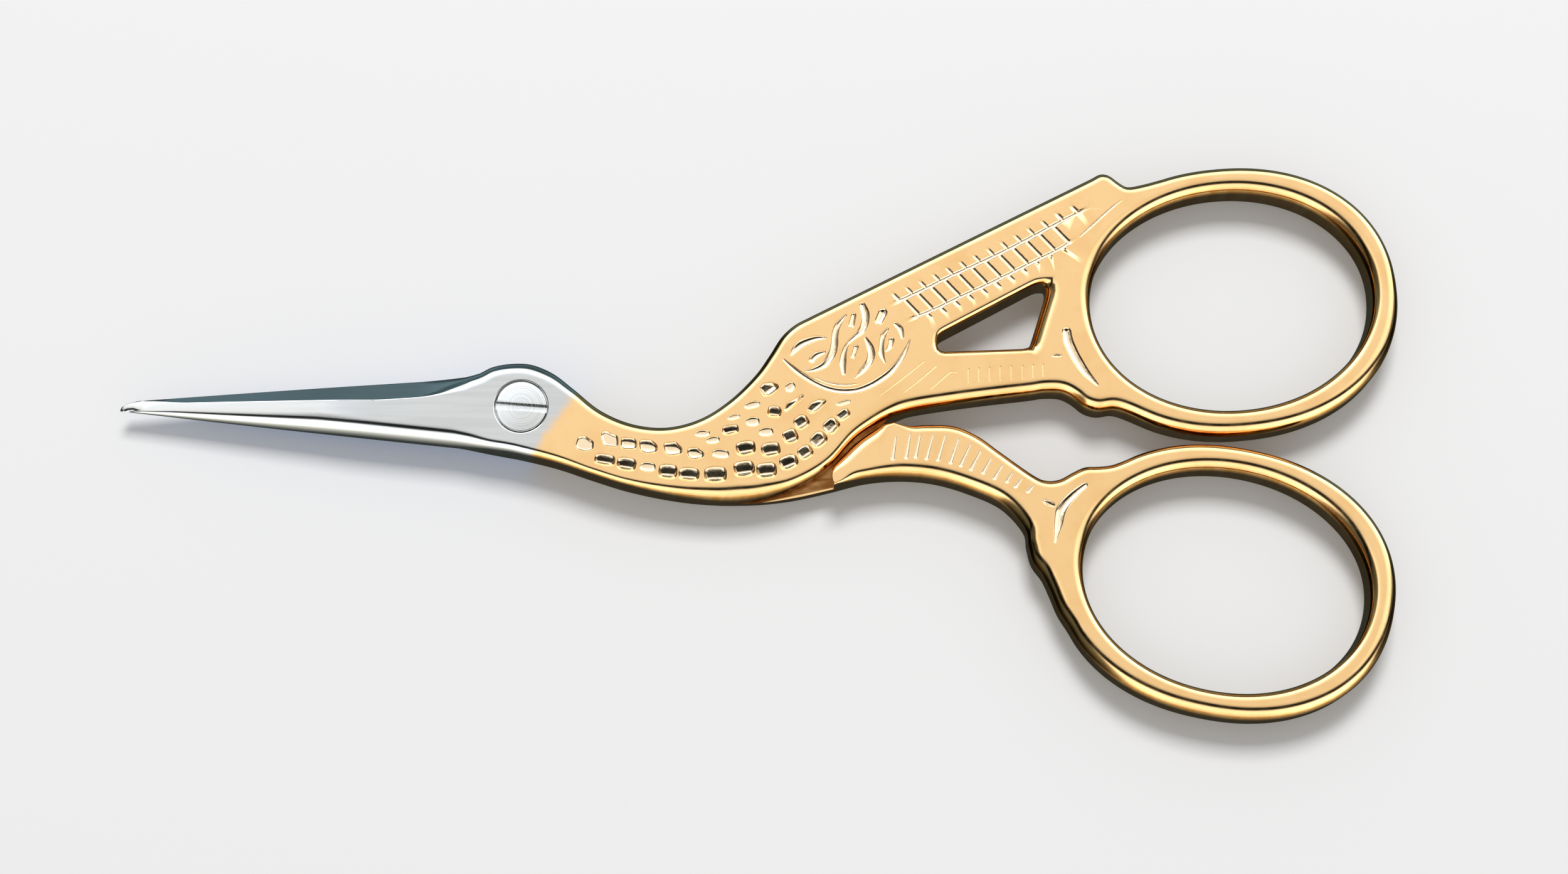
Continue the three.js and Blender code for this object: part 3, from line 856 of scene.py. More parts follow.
LOWER_PUNCHES = [
    (7.55, -4.88, 0.95, 0.55, -9), (9.5, -5.28, 0.89, 0.61, -9), (13.2, -5.95, 0.86, 0.68, -4),
    (15.08, -6.2, 0.95, 0.62, -4), (17.42, -6.24, 1.03, 0.75, 2), (19.98, -5.7, 0.95, 0.75, 8),
    (21.98, -5.85, 0.92, 0.73, 6), (23.95, -5.1, 0.84, 0.66, 22), (25.42, -4.2, 0.68, 0.62, 34),
    (26.62, -3.05, 0.78, 0.66, 42), (27.75, -1.8, 0.76, 0.66, 44), (28.83, -0.78, 0.65, 0.46, 40),
]
INNER_PUNCHES = [
    (20.12, -3.82, 0.89, 0.68, 10), (22.35, -3.95, 0.88, 0.66, 10), (24.1, -2.75, 0.68, 0.66, 24),
    (25.1, -1.45, 0.68, 0.62, 34), (22.68, -0.5, 0.63, 0.55, -8), (18.75, -2.15, 0.76, 0.46, 12),
]
SHALLOW_PUNCHES = [
    (11.4, -5.52, 0.72, 0.44, -4), (16.25, -2.5, 0.7, 0.32, 4), (17.2, -3.1, 0.62, 0.34, 8),
    (17.9, -4.35, 0.78, 0.42, -4), (19.05, -1.0, 0.6, 0.25, 12), (20.75, -1.42, 0.62, 0.45, 6),
    (20.7, 0.12, 0.72, 0.33, 14), (21.95, -2.35, 0.66, 0.42, 4), (24.1, 1.75, 0.5, 0.42, 40),
    (28.85, 0.32, 0.68, 0.24, 14),
]
DROPS = [
    [[21.3, 1.75], [21.75, 2.15], [22.4, 2.25], [23.1, 2.0], [23.05, 1.6], [22.3, 0.95], [21.7, 0.85]],
    [[25.55, -0.3], [26.0, 0.35], [26.7, 0.7], [27.45, 0.55], [27.1, 0.1], [26.5, -0.45], [25.9, -0.75]],
    [[23.5, -0.35], [23.85, 0.35], [24.6, 0.75], [25.2, 1.15], [25.35, 0.85], [24.7, 0.3], [24.1, -0.25],
     [23.7, -0.6]],
]

# Panel on the shoulder: a double cut border with feather strokes inside. Each is a line and its widths.
BORDER = (
    [[23.5, 4.3], [24.3, 3.55], [25.15, 2.88], [26.4, 2.1], [27.6, 1.6], [28.8, 1.4], [30.1, 1.5],
     [31.3, 1.95], [32.3, 2.55], [33.2, 3.28], [34.0, 4.3], [34.5, 5.2], [34.85, 6.1]],
    [0.2, 0.42, 0.5, 0.52, 0.54, 0.56, 0.58, 0.6, 0.62, 0.6, 0.5, 0.36, 0.14],
)
INNER_BORDER = (
    [[26.4, 2.62], [27.2, 2.26], [28.2, 2.02], [29.2, 1.96], [30.1, 2.08]], [0.1, 0.2, 0.22, 0.2, 0.08],
)
STROKES = [
    ([[24.2, 4.75], [24.55, 5.25], [25.15, 5.75], [26.1, 6.15], [26.8, 6.3], [27.3, 6.27]],
     [0.3, 0.62, 0.74, 0.6, 0.45, 0.15]),
    ([[25.65, 3.25], [26.4, 3.42], [27.2, 3.85], [27.8, 4.7], [28.05, 5.6], [28.12, 6.6], [28.4, 7.5],
      [29.1, 8.4]],
     [0.26, 0.48, 0.67, 0.74, 0.7, 0.63, 0.56, 0.22]),
    ([[26.05, 4.25], [26.5, 4.72], [27.15, 4.98]], [0.63, 0.59, 0.3]),
    ([[30.6, 9.35], [30.85, 8.6], [30.82, 7.7], [30.5, 6.95], [29.9, 6.4], [29.3, 5.8], [28.95, 5.0],
      [28.82, 4.1], [28.9, 3.0]],
     [0.56, 0.78, 0.74, 0.67, 0.44, 0.3, 0.48, 0.67, 0.37]),
    ([[30.85, 6.3], [31.25, 5.5], [31.38, 4.75], [31.15, 4.0], [30.6, 3.3], [29.95, 2.62]],
     [0.26, 0.63, 0.74, 0.67, 0.56, 0.15]),
    ([[29.82, 8.4], [29.6, 7.5]], [0.48, 0.59]),
    ([[30.02, 5.45], [29.72, 4.55]], [0.48, 0.41]),
    ([[32.45, 8.65], [32.08, 7.85]], [0.85, 0.78]),
    ([[32.85, 7.1], [32.45, 6.5], [32.3, 5.7], [32.28, 4.9], [32.6, 4.0]], [0.26, 0.52, 0.48, 0.56, 0.15]),
    ([[33.2, 6.1], [33.05, 5.5], [32.72, 5.1]], [0.56, 0.48, 0.22]),
    ([[33.55, 7.6], [34.02, 7.1], [34.2, 6.3]], [0.37, 0.56, 0.26]),
]

# Wing: two long cuts and slanted cross cuts leave three rows of feather pads.
LONG_CUT_OVER = [
    [33.0, 9.3], [35.0, 10.25], [36.55, 11.0], [38.2, 11.85], [40.1, 12.75], [42.0, 13.65], [44.0, 14.65],
    [46, 15.72], [48, 16.82], [50, 17.85], [51.6, 18.6],
]
LONG_CUT_UNDER = [
    [34.4, 7.78], [36, 8.5], [37.4, 9.1], [39.3, 10.05], [41, 10.83], [42.5, 11.55], [44.6, 12.62],
    [46.5, 13.6], [48.3, 14.5], [49.3, 15.15],
]
FEATHER_PITCH = 1.235
FEATHER_SLANT = [-0.68, 0.73]
OVER_CUTS = 35.41 + FEATHER_PITCH * np.arange(14)
MIDDLE_CUTS = 35.75 + FEATHER_PITCH * np.arange(12)
UNDER_CUTS = 36.35 + FEATHER_PITCH * np.arange(11)
UNDER_REACH = ([34, 36, 37, 44, 46, 48, 50], [0.05, 0.25, 0.55, 0.55, 0.15, 0.05, 0.05])
WING_START, WING_TURN, WING_END = 34.45, 49.75, 52.4

# The wing's columns and rows about a cut are close together, at its lips and its slopes.
COLUMNS_AT_CUT = np.array([-0.28, -0.155, -0.115, -0.06, 0, 0.06, 0.115, 0.155, 0.28])
ROWS_AT_UNDER_CUT = (-0.23, -0.21, -0.17, -0.09, 0, 0.09, 0.17, 0.21, 0.23, 0.34)
ROWS_AT_OVER_CUT = (
    -0.34, -0.24, -0.22, -0.18, -0.09, 0, 0.09, 0.18, 0.22, 0.24, 0.36, 0.5, 0.65, 0.8, 0.95, 1.1, 1.2)

# Behind the turn only the rows from this one up go on.
TURN_ROW = -0.18

# Half widths of the cuts, and how much shorter or longer a distance is square to them than along the sheet
UNDER_HALF, OVER_HALF, CROSS_HALF = 0.2, 0.21, 0.16
SQUARE_TO_LONG, SQUARE_TO_CROSS = 0.96, 1.07
CUT_LIP = 0.055

# Ring roots, link and leg
LINK_STROKES = [
    ([[32.2, 1.05], [34.1, 2.5], [36.15, 4.15]], [0.06, 0.12, 0.08], 0.5),
    ([[34.3, 1.3], [35.8, 2.5], [37.2, 3.72]], [0.06, 0.12, 0.12], 0.5),
    ([[36.7, 1.6], [37.6, 2.4], [38.5, 3.15], [39.05, 3.1]], [0.06, 0.12, 0.12, 0.06], 0.5),
]
LINK_TICKS = [40.1, 41.05, 42.0, 42.95, 43.95, 44.95, 45.9, 46.8]
FRONT_ROOT = (
    [[48.95, 6.9], [49.1, 6.0], [49.5, 5.0], [50.0, 4.05], [50.65, 3.05], [51.6, 2.0]],
    [0.86, 0.92, 0.9, 0.86, 0.72, 0.3],
)
TAIL_STROKE = (
    [[50.35, 15.75], [51.4, 16.72], [52.6, 17.85], [53.6, 18.72], [54.2, 19.15]],
    [0.14, 0.24, 0.24, 0.18, 0.08],
)
BACK_ROOT = (
    [[50.35, -7.15], [49.5, -7.85], [48.65, -8.7], [48.1, -9.6], [47.9, -10.7], [47.6, -12.3]],
    [0.5, 0.7, 0.84, 0.95, 0.8, 0.2],
)
LEG_TICKS = [
    ([33.55, -2.75], [33.2, -5.0]), ([34.85, -2.45], [34.4, -4.85]), ([35.75, -2.45], [35.2, -5.0]),
    ([36.9, -2.5], [36.2, -4.95]), ([37.95, -2.65], [37.25, -5.0]), ([39.15, -2.95], [38.35, -5.25]),
    ([40.2, -3.45], [39.25, -5.5]), ([41.1, -4.05], [40.2, -5.75]), ([42.0, -4.75], [41.3, -6.05]),
    ([43.0, -5.35], [42.3, -6.55]), ([43.85, -6.05], [43.4, -6.85]), ([44.7, -6.6], [44.15, -7.3]),
    ([45.85, -7.05], [45.25, -7.75]),
]


def body_marks():
    """The rows of beads and punches from the neck to the breast"""
    marks = [tray(spaced(round_corners(p, 0.3), 0.14)) for p in UPPER_BEADS[:2]]
    marks += [pit(spaced(round_corners(p, 0.42), 0.14), 0.8, 0.15, -8, 0.45) for p in UPPER_BEADS[2:]]
    marks += [pit(oblong(*p), 1.0, 0.3, p[4]) for p in LOWER_PUNCHES + INNER_PUNCHES]
    marks += [pit(oblong(*p, squareness=2.4, count=26), 0.45, -0.2, p[4], 0.5) for p in SHALLOW_PUNCHES]
    marks += [pit(spaced(round_corners(p, 0.22), 0.14), 0.9, 0.1, 40) for p in DROPS]
    return marks


def panel_marks():
    return [stroke(*s) for s in (BORDER, INNER_BORDER, *STROKES)]


def extended(points, more=4.0):
    """An open line made longer at both ends"""
    ends = []
    for end, within in ((0, 3), (-1, -4)):
        away = points[end] - points[within]
        ends.append(points[end] + away / np.linalg.norm(away) * more)
    return np.vstack([ends[0], points, ends[1]])


def cut_profile(off, half):
    """Depth of a narrow cut at a distance from its middle: upright lips and two slopes"""
    off = np.abs(off)
    lip = CUT_LIP * (1 - smoothstep(off, half - 0.04, half + 0.005))
    return lip + GROOVE_SLOPE * np.maximum(0, half - 0.035 - off)


def feathers():
    """The wing: two long cuts, and slanted cross cuts that leave three rows of pads.

    It is a sheet whose columns follow the slant and whose rows follow the long cuts. Both are close together
    at each cut.
    """
    over, under = (extended(curve(cut, step=0.1)) for cut in (LONG_CUT_OVER, LONG_CUT_UNDER))
    across, upwards = FEATHER_SLANT
    cuts = np.concatenate([OVER_CUTS, MIDDLE_CUTS, UNDER_CUTS])
    ends = [WING_START, WING_START + 0.3, WING_END]
    columns = np.sort(np.concatenate([ends, *(c + COLUMNS_AT_CUT for c in cuts)]))
    columns = columns[np.concatenate([[True], np.diff(columns) > 0.02])]
    wide = len(columns)
    foot_y = np.interp(columns, *under.T)
    reach = np.full(wide, 2.0)
    for _ in range(12):
        reach = (np.interp(columns + across * reach, *over.T) - foot_y) / upwards

    low = np.interp(columns, *UNDER_REACH)
    rows = [-low - 0.3, -low * 0.7 - 0.28, -low * 0.4 - 0.26, *[np.full(wide, e) for e in ROWS_AT_UNDER_CUT]]
    rows += [reach * 0.35, reach * 0.65, *[reach + e for e in ROWS_AT_OVER_CUT]]
    up = np.array(rows)
    x = columns + across * up
    y = foot_y + upwards * up
    from_over = up - reach
    fade_in = smoothstep(columns, WING_START, WING_START + 1.5)

    down = cut_profile(up * SQUARE_TO_LONG, UNDER_HALF) * fade_in
    down = down * (1 - smoothstep(columns, WING_TURN - 0.6, WING_TURN))
    fade_out = 1 - smoothstep(columns, WING_END - 1.2, WING_END)
    down = np.maximum(down, cut_profile(from_over * SQUARE_TO_LONG, OVER_HALF) * fade_in * fade_out)
    above_under, above_over = smoothstep(up, -0.05, 0.05), smoothstep(from_over, -0.05, 0.05)
    for row, strength in [
        (OVER_CUTS, above_over * (1 - smoothstep(from_over, 0.35, 1.1))),
        (MIDDLE_CUTS, above_under * (1 - above_over)),
        (UNDER_CUTS, 1 - above_under),
    ]:
        for c in row:
            down = np.maximum(down, cut_profile((columns - c) * SQUARE_TO_CROSS, CROSS_HALF) * strength)
    down[0] = down[-1] = 0
    down[:, 0] = down[:, -1] = 0

    turn = int(np.searchsorted(columns, WING_TURN))
    lift = len(rows) - len(ROWS_AT_OVER_CUT) + ROWS_AT_OVER_CUT.index(TURN_ROW)
    keep = np.ones((len(rows) - 1, wide - 1), bool)
    keep[:lift, turn:] = False
    down[: lift + 1, turn] = 0
    down[lift, turn:] = 0
    last, top = wide - 1, len(rows) - 1
    border = [(0, i) for i in range(turn + 1)] + [(j, turn) for j in range(1, lift + 1)]
    border += [(lift, i) for i in range(turn + 1, last + 1)] + [(j, last) for j in range(lift + 1, top + 1)]
    border += [(top, i) for i in range(last - 1, -1, -1)] + [(j, 0) for j in range(top - 1, 0, -1)]
    outline = np.array([(x[j, i], y[j, i]) for j, i in border])
    return {"levels": [(outline, 0)], "close": "sheet", "sheet": (x, y, down, keep)}


def sheet(bm, x, y, z, keep):
    """A worked sheet: a grid set out by its rows and columns, without the cells that aren't kept"""
    rows, columns = x.shape
    made = bmesh.ops.create_grid(bm, x_segments=columns - 1, y_segments=rows - 1, size=1)["verts"]
    for k, v in enumerate(made):
        j, i = divmod(k, columns)
        v.co = (x[j, i], y[j, i], z[j, i])
    unused = [f for k, f in enumerate(bm.faces) if not keep[divmod(k, columns - 1)]]
    bmesh.ops.delete(bm, geom=unused, context="FACES")


def front_root_marks():
    marks = [stroke(*FRONT_ROOT), pit(oblong(48.05, 4.68, 0.48, 0.17, 4, 2.2, 20), 0.6, 0.1)]
    marks += [stroke(*s) for s in LINK_STROKES]
    for x in LINK_TICKS:
        rise = (x - 40) * 0.07
        marks.append(tick([x - 0.02, 2.2 + rise], [x + 0.02, 3.4 + rise], [0.1, 0.18], 0.3))
    return [*marks, stroke(*TAIL_STROKE)]


def leg_marks():
    marks = [tick(a, b, [0.16, 0.34], 0.7) for a, b in LEG_TICKS]
    marks += [stroke(*BACK_ROOT), pit(oblong(47.1, -8.78, 0.6, 0.26, -26, 2.4, 24), 1.0, 0.2, -26)]
    return marks


# Bores


def circle(radius, count):
    return oblong(0, 0, radius, radius, 0, 2, count)


# Bores from the lapping face outwards: radii and heights, vertices round, how many circles are sharp
HEAD_BORE_SHAPE = ([
    (SHANK_BORE, UPPER_FACE), (SHANK_BORE, SEAT - 0.05), (HEAD_BORE, SEAT - 0.05),
    (HEAD_BORE, THICKNESS - 0.07), (HEAD_BORE + 0.02, THICKNESS - 0.02), (HEAD_BORE + 0.07, THICKNESS),
    (HEAD_BORE + 0.12, THICKNESS),
], 72, 3)
THREAD_BORE_SHAPE = ([
    (THREAD_BORE, LOWER_FACE), (THREAD_BORE, 0.14), (THREAD_BORE + 0.04, 0.05), (THREAD_BORE + 0.14, 0),
    (THREAD_BORE + 0.2, 0),
], 48, 1)


def drill(bm, profile, count, sharp):
    """A round bore. Gives the edges of its circles in the lapping face and in the outer face."""
    verts, foot = add_loop(bm, circle(profile[0][0], count), profile[0][1])
    sharpen(foot)
    edges = foot
    for i, (radius, z) in enumerate(profile[1:], start=1):
        verts, edges = grow(bm, verts, edges, circle(radius, count), z)
        if i < sharp:
            sharpen(edges)
    return foot, edges


def nearest(loop, point):
    return int(np.linalg.norm(loop - np.array(point, float), axis=1).argmin())


# Materials


def nodes_of(name):
    material = bpy.data.materials.new(name)
    material.use_nodes = True
    tree = material.node_tree
    return material, tree, tree.nodes["Principled BSDF"]


def node(tree, kind, inputs=None, **settings):
    made = tree.nodes.new(kind)
    for key, value in settings.items():
        setattr(made, key, value)
    for key, value in (inputs or {}).items():
        if isinstance(value, bpy.types.NodeSocket):
            tree.links.new(value, made.inputs[key])
        else:
            made.inputs[key].default_value = value
    return made


def sums(tree, operation, a, b=0.0):
    return node(tree, "ShaderNodeMath", {0: a, 1: b}, operation=operation).outputs[0]


def blend(tree, share, first, second):
    """A colour that goes over from the first to the second"""
    return node(tree, "ShaderNodeMix", {"Factor": share, 6: first, 7: second}, data_type="RGBA").outputs[2]


def noise(tree, coords, scale, detail, roughness, stretch=(1, 1, 1)):
    mapped = node(tree, "ShaderNodeMapping", {"Vector": coords, "Scale": stretch}).outputs[0]
    inputs = {"Vector": mapped, "Scale": scale, "Detail": detail, "Roughness": roughness}
    return node(tree, "ShaderNodeTexNoise", inputs).outputs["Fac"]


def between(tree, value, low, high, to_low=0.0, to_high=1.0, kind="SMOOTHSTEP"):
    inputs = {"Value": value, "From Min": low, "From Max": high, "To Min": to_low, "To Max": to_high}
    return node(tree, "ShaderNodeMapRange", inputs, interpolation_type=kind).outputs["Result"]


def metal(tree, shader, colour, rough, height, strength=1.0, distance=1.0):
    """Joins a metal's colour, roughness and bump to its shader"""
    bump = node(tree, "ShaderNodeBump", {"Strength": strength, "Distance": distance, "Height": height})
    for name, value in (("Base Color", colour), ("Roughness", rough), ("Normal", bump.outputs[0])):
        tree.links.new(value, shader.inputs[name])
    shader.inputs["Metallic"].default_value = 1.0


GOLD = (0.956, 0.638, 0.305, 1)
DEEP_GOLD = (0.86, 0.5, 0.19, 1)
# Painted shade: a darker, deeper gold for the steep walls
SHADED_WALL_GOLD = (0.74, 0.36, 0.09, 1)
# Painted highlight: a paler gold for the sunk faces of the marks
MARK_HIGHLIGHT_GOLD = (0.965, 0.77, 0.52, 1)
# Painted shade: the brown of the lapping face in the step between the halves
PAINTED_STEP_SHADE = (0.2, 0.075, 0.015, 1)
STEEL = (0.605, 0.615, 0.605, 1)
PALE_STEEL = (0.66, 0.67, 0.66, 1)
SCREW_STEEL = (0.62, 0.65, 0.65, 1)
PALE_SCREW_STEEL = (0.86, 0.87, 0.85, 1)

# Border of the plating, in metres: its slant, where it starts and is whole, and how ragged it is
PLATING_SLANT = -0.69
PLATING_START = (0.0033, 0.0046)
PLATING_RAGGED = 0.0012

# How far below the face the paler colour of the marks, a painted highlight, starts and is whole, in metres
SUNK = (0.00001, 0.00006)

# Painted shade on the lapping face, in the step between the halves, in brown: it lies between a straight line
# and the bow of the breast's outline.
# In metres: the line's slope, its place, and where along x the painted shade starts and is whole.
STEP_SHADE_SLOPE = 0.2154
STEP_SHADE_LINE = (-0.01302, -0.01295)
STEP_SHADE_START = (0.012, 0.019)
# In millimetres: the breast's slope and bow behind its first point, and how far above it the painted shade
# ends.
BREAST_BOW, BREAST_SLOPE = 0.0502, 0.1736
STEP_SHADE_END = (0.6, 0.3)

# Heights of the bumps, in metres
SCRATCH_HEIGHT = 0.0000012
WAVE_HEIGHT = 0.000006
TORN_HEIGHT = 0.000014
RING_HEIGHT = 0.000004


def plated_finish(name, torn_height=0, stretch=(0.05, 1, 0.3), marks=False, step_shaded=False):
    """Polished gold plating up to the head, where the bare, ground steel of the blades begins

    In the marks the gold is torn, and paler as a painted highlight. The lapping face has painted brown shade
    on its open strip, in the step between the halves, and steep walls have painted darker shade.
    """
    material, tree, shader = nodes_of(name)
    add, less, times, per = (partial(sums, tree, kind) for kind in ("ADD", "SUBTRACT", "MULTIPLY", "DIVIDE"))
    coords = node(tree, "ShaderNodeTexCoord").outputs["Object"]
    x, y, z = node(tree, "ShaderNodeSeparateXYZ", {0: coords}).outputs
    cloud = noise(tree, coords, 900, 4, 0.6)
    border = add(add(times(y, PLATING_SLANT), x), times(less(cloud, 0.5), PLATING_RAGGED))
    plated = between(tree, border, *PLATING_START)

    tarnish = noise(tree, coords, 260, 4, 0.55)
    gold = blend(tree, between(tree, tarnish, 0.42, 0.75, 0, 0.45), GOLD, DEEP_GOLD)
    if marks:
        # Painted highlight: the sunk faces of the marks get a paler gold, so that their highlights come out
        # near white.
        face = THICKNESS / 2 * MM
        off_middle = sums(tree, "ABSOLUTE", less(z, face))
        gold = blend(tree, between(tree, off_middle, face - SUNK[0], face - SUNK[1]), gold, MARK_HIGHLIGHT_GOLD)
    # Painted shade: steep walls get a deeper, darker gold, in streaks, standing in for the shaded floor they
    # mirror.
    normal = node(tree, "ShaderNodeNewGeometry").outputs["Normal"]
    facing = node(tree, "ShaderNodeSeparateXYZ", {0: normal}).outputs["Z"]
    streaks = between(tree, noise(tree, coords, 1100, 3, 0.6, (1, 1, 0.12)), 0.3, 0.7, 0.45, 1.0)
    painted_wall_shade = times(between(tree, sums(tree, "ABSOLUTE", facing), 0.88, 0.5), streaks)
    gold = blend(tree, painted_wall_shade, gold, SHADED_WALL_GOLD)
    # Painted shade: the open strip of the lapping face, in the step between the halves, is darkened to brown.
    if step_shaded:
        across = less(y, times(x, STEP_SHADE_SLOPE))
        step_shade = times(between(tree, across, *STEP_SHADE_LINE), between(tree, x, *STEP_SHADE_START))
        start_x, start_y = BREAST[0]
        run = less(per(x, MM), start_x)
        bow = times(run, add(times(run, BREAST_BOW), BREAST_SLOPE))
        above = less(less(per(y, MM), start_y), bow)
        step_shade = times(step_shade, between(tree, above, *STEP_SHADE_END))
        patches = noise(tree, coords, 1500, 3, 0.6, (0.25, 1, 1))
        step_shade = times(step_shade, between(tree, patches, 0.3, 0.62, 0.75, 1.0))
        gold = blend(tree, step_shade, gold, PAINTED_STEP_SHADE)
    grain = noise(tree, coords, 1500, 5, 0.65, stretch)
    steel = blend(tree, between(tree, grain, 0.3, 0.7), STEEL, PALE_STEEL)

    polished = between(tree, noise(tree, coords, 700, 4, 0.6), 0.3, 0.8, 0.1, 0.2)
    satin = between(tree, grain, 0.3, 0.7, 0.09, 0.15)
    rough = node(tree, "ShaderNodeMix", {0: plated, 2: satin, 3: polished}, data_type="FLOAT").outputs[0]

    scratches = noise(tree, coords, 3200, 4, 0.6, (0.12, 1, 1))
    waves = noise(tree, coords, 420, 3, 0.5)
    lift = add(times(scratches, SCRATCH_HEIGHT), times(waves, WAVE_HEIGHT))
    if torn_height:
        lift = add(lift, times(noise(tree, coords, 2800, 3, 0.55), torn_height))
    metal(tree, shader, blend(tree, plated, steel, gold), rough, lift)
    return material


def screw_finish():
    """Turned steel: fine rings about the axis"""
    material, tree, shader = nodes_of("turned_steel_screw")
    coords = node(tree, "ShaderNodeTexCoord").outputs["Object"]
    flat = node(tree, "ShaderNodeVectorMath", {0: coords, 1: (1, 1, 0)}, operation="MULTIPLY").outputs[0]
    radius = node(tree, "ShaderNodeVectorMath", {0: flat}, operation="LENGTH").outputs["Value"]
    out = node(tree, "ShaderNodeCombineXYZ", {0: radius}).outputs[0]
    rings = node(tree, "ShaderNodeTexNoise", {"Vector": out, "Scale": 9000, "Detail": 3}).outputs["Fac"]
    steel = blend(tree, between(tree, rings, 0.3, 0.7), SCREW_STEEL, PALE_SCREW_STEEL)
    metal(tree, shader, steel, between(tree, rings, 0.3, 0.7, 0.16, 0.3), rings, 0.7, RING_HEIGHT)
    return material


plated = plated_finish("gold_plated_and_ground_steel")
marked = plated_finish("gold_plating_in_the_marks", TORN_HEIGHT, marks=True)
lapping = plated_finish("ground_flat_inner_face", stretch=(1, 0.05, 1), step_shaded=True)
turned = screw_finish()


# The two halves


def cutting_side(loop, side):
    """1 at the vertices on the ground edge of a blade, which is over or under its middle, and 0 elsewhere"""
    return ((loop[:, 0] < 0) & (side * (loop[:, 1] - blade_middle(loop[:, 0])) > 0)).astype(float)


def front_half():
    loop = front_outline()
    a, b = nearest(loop, [32.7, -1.05]), nearest(loop, [21.5, 3.75])
    step = curve([loop[b], [22.7, 2.5], [25.7, 2.45], [28.8, 1.5], [31.6, -0.05], loop[a]])[1:-1]
    radius = np.full(len(step), FRONT_STEP_ROUNDING)
    holes = [finger_hole(front_ring), bird_window()]
    marks = [*body_marks(), *panel_marks(), feathers(), *front_root_marks()]
    back_marks = [feathers(), *[stroke(*s) for s in STROKES[4:]], stroke(*FRONT_ROOT)]
    bm = forge(
        loop, cutting_side(loop, 1), (a, b), step, radius, holes, UPPER_FACE, 1, marks, back_marks,
        HEAD_BORE_SHAPE)
    finished(bm, "front_half_forging", (plated, lapping, marked), "front", "gold_plated_steel", "front_half")


def back_half():
    loop = back_outline()
    a, b = nearest(loop, [27.9, -7.14]), nearest(loop, [33.2, -1.55])
    step = curve([loop[b], [32.1, -1.78], [30.1, -3.1], [27.9, -5.5], loop[a]])[1:-1]
    least, more = BACK_STEP_ROUNDING
    radius = least + more * smoothstep(np.linalg.norm(step - loop[a], axis=1), 0, 3)
    marks = [*body_marks(), *leg_marks()]
    bm = forge(
        loop, cutting_side(loop, -1), (a, b), step, radius, [finger_hole(back_ring)], LOWER_FACE, -1, marks,
        leg_marks(), THREAD_BORE_SHAPE)
    finished(bm, "back_half_forging", (plated, lapping, marked), "back", "gold_plated_steel", "back_half")


def screw():
    """The turned screw: its outline from the tail to the crown, spun about its axis"""
    bm = bmesh.new()
    top = THICKNESS - CROWN
    profile = [
        (0, 0.02), (THREAD_RADIUS - 0.1, 0.02), (THREAD_RADIUS, 0.12), (THREAD_RADIUS, LOWER_FACE),
        (SHANK_RADIUS, UPPER_FACE), (SHANK_RADIUS, SEAT), (HEAD_RADIUS - 0.05, SEAT),
        (HEAD_RADIUS, SEAT + 0.05), (HEAD_RADIUS, top - 0.06), (HEAD_RADIUS - 0.03, top - 0.015),
    ]
    for r in np.linspace(HEAD_RADIUS - 0.08, 0, 34):
        ripple = RIPPLE_HEIGHT * math.sin(2 * math.pi * r / RIPPLE_PITCH) * min(1, r / 0.3)
        crown = top + CROWN * (1 - (r / HEAD_RADIUS) ** 2) + ripple - RIPPLE_HEIGHT
        profile.append((r, min(THICKNESS, crown)))
    chain = [bm.verts.new((r, 0, z)) for r, z in profile]
    edges = [bm.edges.new(pair) for pair in zip(chain, chain[1:])]
    turned_round = {"axis": (0, 0, 1), "cent": (0, 0, 0), "angle": 2 * math.pi, "steps": 96}
    bmesh.ops.spin(bm, geom=chain + edges, use_merge=True, **turned_round)
    bmesh.ops.remove_doubles(bm, verts=bm.verts, dist=1e-5)
    bmesh.ops.recalc_face_normals(bm, faces=bm.faces)
    return bm


def slotted_screw():
    """The turned screw with its slot cut through the head"""
    cutter = bmesh.new()
    bmesh.ops.create_cube(cutter, size=1)
    bmesh.ops.scale(cutter, vec=(3 * HEAD_RADIUS, SLOT_WIDTH, 2 * SLOT_DEPTH), verts=cutter.verts)
    whole = list(cutter.verts) + list(cutter.edges) + list(cutter.faces)
    bmesh.ops.bisect_plane(cutter, geom=whole, plane_co=(0, SLOT_CREASE, 0), plane_no=(0, 1, 0))
    for v in cutter.verts:
        if v.co.z < 0 and abs(v.co.y - SLOT_CREASE) > 0.01:
            v.co.z += SLOT_SLANT * abs(v.co.y - SLOT_CREASE) * (1 if v.co.y > SLOT_CREASE else 0.4)
    turn = math.radians(SLOT_ANGLE)
    bmesh.ops.rotate(cutter, cent=(0, 0, 0), matrix=Matrix.Rotation(turn, 3, "Z"), verts=cutter.verts)
    bmesh.ops.translate(cutter, vec=(0, 0, THICKNESS), verts=cutter.verts)
    cutter_mesh, blank_mesh = mesh_of(cutter, "slot_cutter"), mesh_of(screw(), "screw_blank")
    slot, blank = placed("slot_cutter", cutter_mesh), placed("screw_blank", blank_mesh)
    cut = blank.modifiers.new("slot", "BOOLEAN")
    cut.object, cut.operation, cut.solver = slot, "DIFFERENCE", "EXACT"
    soften = blank.modifiers.new("soften", "BEVEL")
    soften.width, soften.segments = SLOT_SOFTENING, 2
    soften.limit_method, soften.angle_limit = "ANGLE", math.radians(50)
    bpy.context.view_layer.update()
    shaped = bpy.data.meshes.new_from_object(blank.evaluated_get(bpy.context.evaluated_depsgraph_get()))
    bm = bmesh.new()
    bm.from_mesh(shaped)
    for tool in (slot, blank):
        bpy.data.objects.remove(tool)
    bpy.data.meshes.remove(shaped)
    finished(bm, "slotted_pivot_screw", (turned,), "back", "bare_steel", "pivot_screw")


front_half()
back_half()
slotted_screw()


# Table, light and camera

